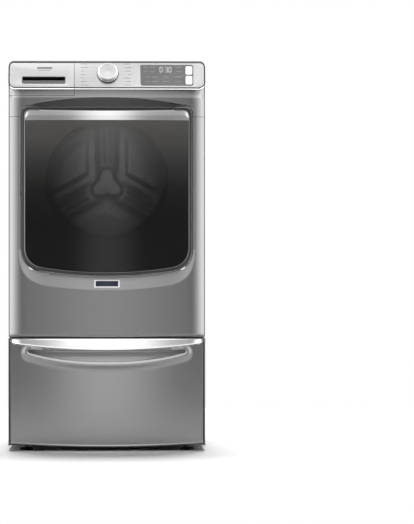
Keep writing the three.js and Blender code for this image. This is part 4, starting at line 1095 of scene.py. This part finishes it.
def baffle(index):
    """A lifter: its crest bows along the drum and falls away at both ends."""
    foot = AXIS_Z - DRUM_RADIUS + 7
    length = 40
    count = 20
    turn = Matrix.Rotation(math.radians(-120 * index), 3, "Y")
    centre = Vector((0, 0, AXIS_Z))
    rings = []
    for k in range(length + 1):
        s = k / length
        y = lerp(-219, 169, s)
        rise = 0.25 + 0.75 * math.sqrt(max(0.0, 1 - (2 * s - 1) ** 6))
        ring = []
        for i in range(count + 1):
            t = -1 + 2 * i / count
            x = 38 * math.copysign(abs(t) ** 0.8, t)
            height = 57 * rise * math.exp(-((t / 0.46) ** 2) * 0.9) - 5 * (1 - abs(t))
            base = -4.6 * (1 - (x / 38) ** 2)
            ring.append(Vector((x, y, foot + max(base + 0.5, height))))
        for i in range(count - 1, 0, -1):
            x = ring[i].x
            ring.append(Vector((x, y, foot - 4.6 * (1 - (x / 38) ** 2))))
        rings.append([tuple(turn @ (p - centre) + centre) for p in ring])
    made = loft(f"lifter_{index + 1}", rings, WHITE, caps=True)
    mount(made, "drum", "white_plastic", f"baffle_{index + 1}")


def bellows():
    """The folded rubber between the mouth and the tub."""
    floor = FRONT + DISH_DEPTH
    face = -270
    r = MOUTH_RADIUS
    profile = softened([
        (r - 5, floor - 2.5), (r - 1, floor - 2.5), (r - 1, floor + 14.5), (r + 10, floor + 18.5),
        (r + 10.5, floor + 24), (r - 2.4, floor + 29), (r - 2.4, face - 1), (r - 5, face - 1),
        (r - 5, face - 16), (r - 14, face - 18), (r - 14, face - 21),
        (r + 7, floor + 21.5), (r - 5, floor + 16),
    ], 2.4, 5)
    made = turned("door_bellows", profile, RUBBER, 128)
    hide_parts("bellows")
    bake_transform(made)


def springs():
    for side, name in ((-1, "left"), (1, "right")):
        turns = 13
        low, high = 1170, 1290
        path = []
        steps = turns * 16
        for k in range(steps + 1):
            t = k / steps
            fade = smooth(t / 0.06) * smooth((1 - t) / 0.06)
            angle = 2 * math.pi * turns * t
            r = 11 * fade
            path.append((side * 200 + r * math.cos(angle), 60 + r * math.sin(angle), lerp(low, high, t)))
        made = tube(f"coil_spring_{name}", path, 1.7, STEEL, 8)
        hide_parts(f"spring_{name}")
        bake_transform(made)


def sump_hose():
    """The ribbed hose from the tub's sump down to the pump."""
    bends = ((60, -150, 629), (60, -150, 570), (78, -180, 495), (125, -257, 460), (166, -260, 457))
    knots = [Vector(p) for p in bends]
    path = []
    for i in range(len(knots) - 1):
        before = knots[max(0, i - 1)]
        after = knots[min(len(knots) - 1, i + 2)]
        a, b = knots[i], knots[i + 1]
        for k in range(22):
            t = k / 22
            path.append(0.5 * (
                2 * a + (b - before) * t + (2 * before - 5 * a + 4 * b - after) * t**2
                + (3 * a - before - 3 * b + after) * t**3
            ))
    path.append(knots[-1])

    def ribbed(t):
        return 21 + 1.8 * math.cos(2 * math.pi * 22 * t)

    made = tube("ribbed_sump_hose", [tuple(p) for p in path], ribbed, RUBBER, 24)
    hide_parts("sump_hose")
    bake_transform(made)


# ---------------------------------------------------------------- badge
def badge():
    y = FRONT - 0.4
    back = slab("badge_rim", [rounded(-44, 44, 568.5, 596.5, 3)], -2.5, 1.8, BUTTON, upright(y), 0.8)
    mount(back, "cabinet", "bright_trim", "badge_plate")
    enamel = slab("badge_field", [rounded(-39, 39, 573, 592, 1.5)], 1.6, 2.4, BADGE, upright(y), 0.3)
    mount(enamel, "cabinet", "bright_trim")


# ---------------------------------------------------------------- pedestal
def trim_edge(x):
    """The height of the bright strip's lower edge at x."""
    return TRIM["bottom"] + TRIM["bow"] * (x / TRIM["half"]) ** 2


POCKET_REACH = 266


def pocket_foot(x):
    """The height of the finger pocket's lower edge at x."""
    return 308 + 32 * np.minimum(1, np.abs(x) / POCKET_REACH) ** 2.4


def pocket_outline():
    """The finger pocket: a deep bow below, and a level edge above that rounds down at the ends."""
    reach, top, turn = POCKET_REACH, 349.5, 5
    low = [(x, pocket_foot(x)) for x in (lerp(-reach, reach, k / 90) for k in range(91))]
    angles = [math.pi * k / 12 for k in range(1, 12)]
    end = [(reach + 7 * math.sin(a), top - turn - turn * math.cos(a)) for a in angles]
    return low + end + [(reach, top), (-reach, top)] + [(-x, z) for x, z in reversed(end)]


def depth_inside(outline, x, z):
    """How far each point lies inside the outline; outside it the distance is negative."""
    nearest = np.full(x.shape, 1e9)
    inside = np.zeros(x.shape, bool)
    for (ax, az), (bx, bz) in zip(outline, outline[1:] + outline[:1]):
        ex, ez = bx - ax, bz - az
        along = np.clip(((x - ax) * ex + (z - az) * ez) / (ex * ex + ez * ez), 0, 1)
        nearest = np.minimum(nearest, np.hypot(x - ax - along * ex, z - az - along * ez))
        if az != bz:
            crosses = (az > z) != (bz > z)
            inside ^= crosses & (x < ax + (z - az) * ex / ez)
    return np.where(inside, nearest, -nearest)


def drawer_face(x, z):
    """The depth of the drawer's face: bowed, with a rolled bead under a pocket that slopes back."""
    inside = depth_inside(pocket_outline(), x, z)
    low = pocket_foot(x)
    slope = np.clip((z - low + 1) / (350 - low), 0, 1)
    scoop = 32 * slope * np.clip((inside + 1) / 5, 0, 1)
    beside = np.clip((np.abs(x) - 225) / 40, 0, 1)
    beneath = np.clip((345 - z) / 8, 0, 1)
    from_crest = inside + 7.5
    spread = np.where(from_crest > 0, 6.5, 13)  # the bead is steeper on its pocket side
    bead = -4.2 * np.exp(-((from_crest / spread) ** 2)) * np.maximum(beside, beneath)
    ledge = 1.0 * np.exp(-(((z - 328) / 1.6) ** 2)) * np.clip((170 - np.abs(x)) / 60, 0, 1)
    behind_trim = 18 * np.clip((z - trim_edge(x) - 1) / 3, 0, 1)
    bowed_back = PEDESTAL_BOW * (x / PEDESTAL["half"]) ** 2
    return bowed_back + bead + np.maximum(scoop - ledge * (inside > 4), behind_trim)


def pedestal_front():
    """The drawer's bowed face with the pocket pressed into it, and the drawer's sides behind it."""
    half, bottom, top = PEDESTAL["half"], PEDESTAL["bottom"], PEDESTAL["top"]
    edge = 6  # the side edges are rounded over
    lip_height = 9  # the face steps out a little along its bottom
    columns = np.concatenate([
        -half + np.linspace(0, edge, 9)[:-1],
        np.linspace(-half + edge, half - edge, 330),
        half - np.linspace(edge, 0, 9)[1:],
    ])
    low = bottom + PEDESTAL["bow"] * (columns / half) ** 2
    heights = [low, low + 12] + [np.full(columns.shape, float(z)) for z in (290, 356, top)]
    levels = [(band, k / n) for band, n in enumerate((12, 50, 64, 10)) for k in range(n)] + [(3, 1.0)]
    rows = []
    for band, t in levels:
        z = heights[band] * (1 - t) + heights[band + 1] * t
        side = np.clip(1 - (half - np.abs(columns)) / edge, 0, 1)
        foot = np.clip(1 - (z - low) / 4, 0, 1)
        round_off = 4.5 * (1 - np.sqrt(1 - (side * 0.98) ** 2)) + 4 * (1 - np.sqrt(1 - foot**2))
        lip = np.clip((lip_height - (z - low)) / 3, 0, 1)
        y = PEDESTAL_FRONT + 1 + drawer_face(columns, z) + np.minimum(9, round_off) - 1.2 * lip
        rows.append(list(zip(columns.tolist(), y.tolist(), z.tolist())))
    made = face_forwards(loft("pedestal_drawer_face", rows, DRAWER_SLATE, around=False, crease=60))
    made.data.materials.append(PAINTED_SHADE_SLATE)
    # The pocket's inside takes the matt copy of the paint: painted shade.
    centres = np.array([tuple(p.center) for p in made.data.polygons]) / MM
    in_pocket = depth_inside(pocket_outline(), centres[:, 0], centres[:, 2]) > 0.5
    made.data.polygons.foreach_set("material_index", in_pocket.astype(np.int32))
    mount(shell(made, 1.5), "drawer", "slate_paint", "drawer_front")
    rim = bowed(inset(PEDESTAL, 4))
    rings = [
        [(x, PEDESTAL_FRONT + 8 + PEDESTAL_BOW * (x / half) ** 2, z) for x, z in rim],
        [(x, PEDESTAL_FRONT + 25, z) for x, z in rim],
    ]
    mount(shell(loft("pedestal_drawer_sides", rings, SLATE_SIDE), 1.2), "drawer", "slate_paint")


def pedestal_trim():
    """The bright strip over the drawer, crowned a little from top to bottom, its ends curving back."""
    half = TRIM["half"]
    count = 160
    section = 14
    rings = []
    for i in range(count + 1):
        x = half * math.sin(math.pi / 2 * (-1 + 2 * i / count))
        low, high = trim_edge(x), TRIM["top"]
        base = PEDESTAL_FRONT - 3 + min(fallen(x), 30)
        ring = []
        for k in range(section + 1):
            t = -1 + 2 * k / section
            ring.append((x, base - 1.0 * (1 - abs(t) ** 9), lerp(low, high, (t + 1) / 2)))
        ring.append((x, base + 12, high))
        ring.append((x, base + 12, low))
        rings.append(ring)
    made = loft("pedestal_strip", rings, CHROME, caps=True, crease=45)
    mount(made, "drawer", "bright_trim", "drawer_trim")


# ---------------------------------------------------------------- CAD parts that show as they are
def cad_finishes():
    by_material = {
        SLATE_SIDE: "side_panel_left side_panel_right top_panel pedestal_case",
        DARK: "console_fascia",
        DISPLAY: "display_window",
        ZINC: "rear_panel base_pan hinge_bracket top_brace drawer_box",
        STEEL: "door_strike damper_rod_left damper_rod_right tub_bearing motor_pulley rail_left rail_right",
        BLACK: "control_board door_lock damper_left damper_right foot_front_left foot_front_right "
               "foot_rear_left foot_rear_right door_inner",
        WHITE: "dispenser_housing dispenser_tray inlet_valve drain_pump tub_front tub_rear",
        CONCRETE: "counterweight",
        CASTING: "motor drum_spider drum_pulley",
        GASKET: "drive_belt",
    }
    for material, names in by_material.items():
        for name in names.split():
            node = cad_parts[name]
            for k in range(max(1, len(node.data.materials))):
                if k < len(node.material_slots):
                    node.material_slots[k].material = material
                else:
                    node.data.materials.append(material)


# ---------------------------------------------------------------- studio
def studio():
    floor_mesh = bpy.data.meshes.new("floor")
    reach = 2.6
    corners = [(-reach, -reach, 0), (reach, -reach, 0), (reach, reach, 0), (-reach, reach, 0)]
    floor_mesh.from_pydata(corners, [], [(0, 1, 2, 3)])
    paint = finish("studio_floor", grey(0.93), 0.0, 0.9, vary=0.004, grain=8, bump=0.0)
    floor_mesh.materials.append(paint)
    floor = bpy.data.objects.new("floor", floor_mesh)
    bpy.context.scene.collection.objects.link(floor)
    surround()

    sun = bpy.data.lights.new("overhead", "SUN")
    sun.energy = 3.6
    sun.angle = math.radians(24)
    overhead = bpy.data.objects.new("overhead", sun)
    overhead.visible_glossy = False
    overhead.rotation_euler = Vector((0, -0.36, -1)).to_track_quat("-Z", "Y").to_euler()
    bpy.context.scene.collection.objects.link(overhead)

    lamp = bpy.data.lights.new("drum_lamp", "AREA")
    lamp.energy = 0.22
    lamp.size = 0.26
    lamp_object = bpy.data.objects.new("drum_lamp", lamp)
    lamp_object.location = (0, -0.14, 1.02)
    towards = Vector((0, 0.18, 0.94)) - lamp_object.location
    lamp_object.rotation_euler = towards.to_track_quat("-Z", "Y").to_euler()
    bpy.context.scene.collection.objects.link(lamp_object)


def surround():
    """White to the eye, dim to matt surfaces, and soft boxes round the machine to shiny ones."""
    world = bpy.data.worlds.new("studio")
    bpy.context.scene.world = world
    world.use_nodes = True
    tree = world.node_tree
    tree.nodes.clear()

    def maths(kind, *values):
        node = tree.nodes.new("ShaderNodeMath")
        node.operation = kind
        for socket, value in zip(node.inputs, values):
            if isinstance(value, (int, float)):
                socket.default_value = value
            else:
                tree.links.new(value, socket)
        return node.outputs[0]

    where = tree.nodes.new("ShaderNodeTexCoord")
    axes = tree.nodes.new("ShaderNodeSeparateXYZ")
    tree.links.new(where.outputs["Generated"], axes.inputs["Vector"])
    x, y, z = axes.outputs
    turn = maths("ARCTAN2", maths("ABSOLUTE", x), maths("MULTIPLY", y, -1.0))
    rise = maths("ARCSINE", z)

    def ramp(angle, low, high, stops):
        """Strength against an angle in degrees."""
        most = max(value for _, value in stops)
        node = tree.nodes.new("ShaderNodeValToRGB")
        span = math.radians(high - low)
        share = maths("DIVIDE", maths("SUBTRACT", angle, math.radians(low)), span)
        tree.links.new(share, node.inputs["Fac"])
        set_stops(node.color_ramp, [((a - low) / (high - low), v / most) for a, v in stops])
        return maths("MULTIPLY", node.outputs["Color"], most)

    boxes = ramp(turn, 0, 180, [
        (0, 2.0), (4, 1.75), (9, 0.50), (19, 0.45), (26, 0.8), (34, 1.8), (48, 3.9), (66, 5.0),
        (94, 4.4), (110, 0.9), (124, 0.25), (160, 0.5), (180, 0.8),
    ])
    height = ramp(rise, -90, 90, [
        (-90, 0.0), (-12, 0.3), (-1, 0.0), (6, 0.0), (14, 0.5), (24, 0.95), (42, 0.95), (52, 1.6),
        (60, 2.2), (76, 2.2), (90, 1.2),
    ])
    shiny = maths("MULTIPLY", maths("ADD", boxes, height), 0.8)

    path = tree.nodes.new("ShaderNodeLightPath")
    seen = path.outputs["Is Camera Ray"]
    glossy = path.outputs["Is Glossy Ray"]
    ambient = 0.16
    reflected = maths("MULTIPLY", glossy, maths("SUBTRACT", shiny, ambient))
    hidden = maths("ADD", reflected, ambient)
    strength = maths("MAXIMUM", hidden, maths("MULTIPLY", seen, 1.0))
    light = tree.nodes.new("ShaderNodeBackground")
    light.inputs["Color"].default_value = (1, 1, 1, 1)
    tree.links.new(strength, light.inputs["Strength"])
    out = tree.nodes.new("ShaderNodeOutputWorld")
    tree.links.new(light.outputs["Background"], out.inputs["Surface"])



def camera():
    """Level, far off, and turned a little to the right, so that the machine stands at the left."""
    distance = 10.0  # from the front panels
    seen = 1.827  # metres that the long side of the picture takes in, at the front panels
    sensor = 36.0
    sideways = 0.3487
    height = 0.658
    data = bpy.data.cameras.new("camera")
    data.sensor_width = sensor
    data.lens = sensor * math.hypot(distance, sideways) / seen
    data.clip_end = 100
    made = bpy.data.objects.new("camera", data)
    made.location = (0, FRONT * MM - distance, height)
    made.rotation_euler = (math.pi / 2, 0, -math.atan2(sideways, distance))
    bpy.context.scene.collection.objects.link(made)
    bpy.context.scene.camera = made
    bpy.context.scene.view_settings.view_transform = "Standard"


camera()
studio()
cad_finishes()
front_panels()
lock_mouth()
face_plates()
pull_slot()
console_lip()
knob()
panel_marks()
digits()
push_buttons()
door()
handle()
bowl()
drum()
bellows()
springs()
sump_hose()
badge()
pedestal_front()
pedestal_trim()
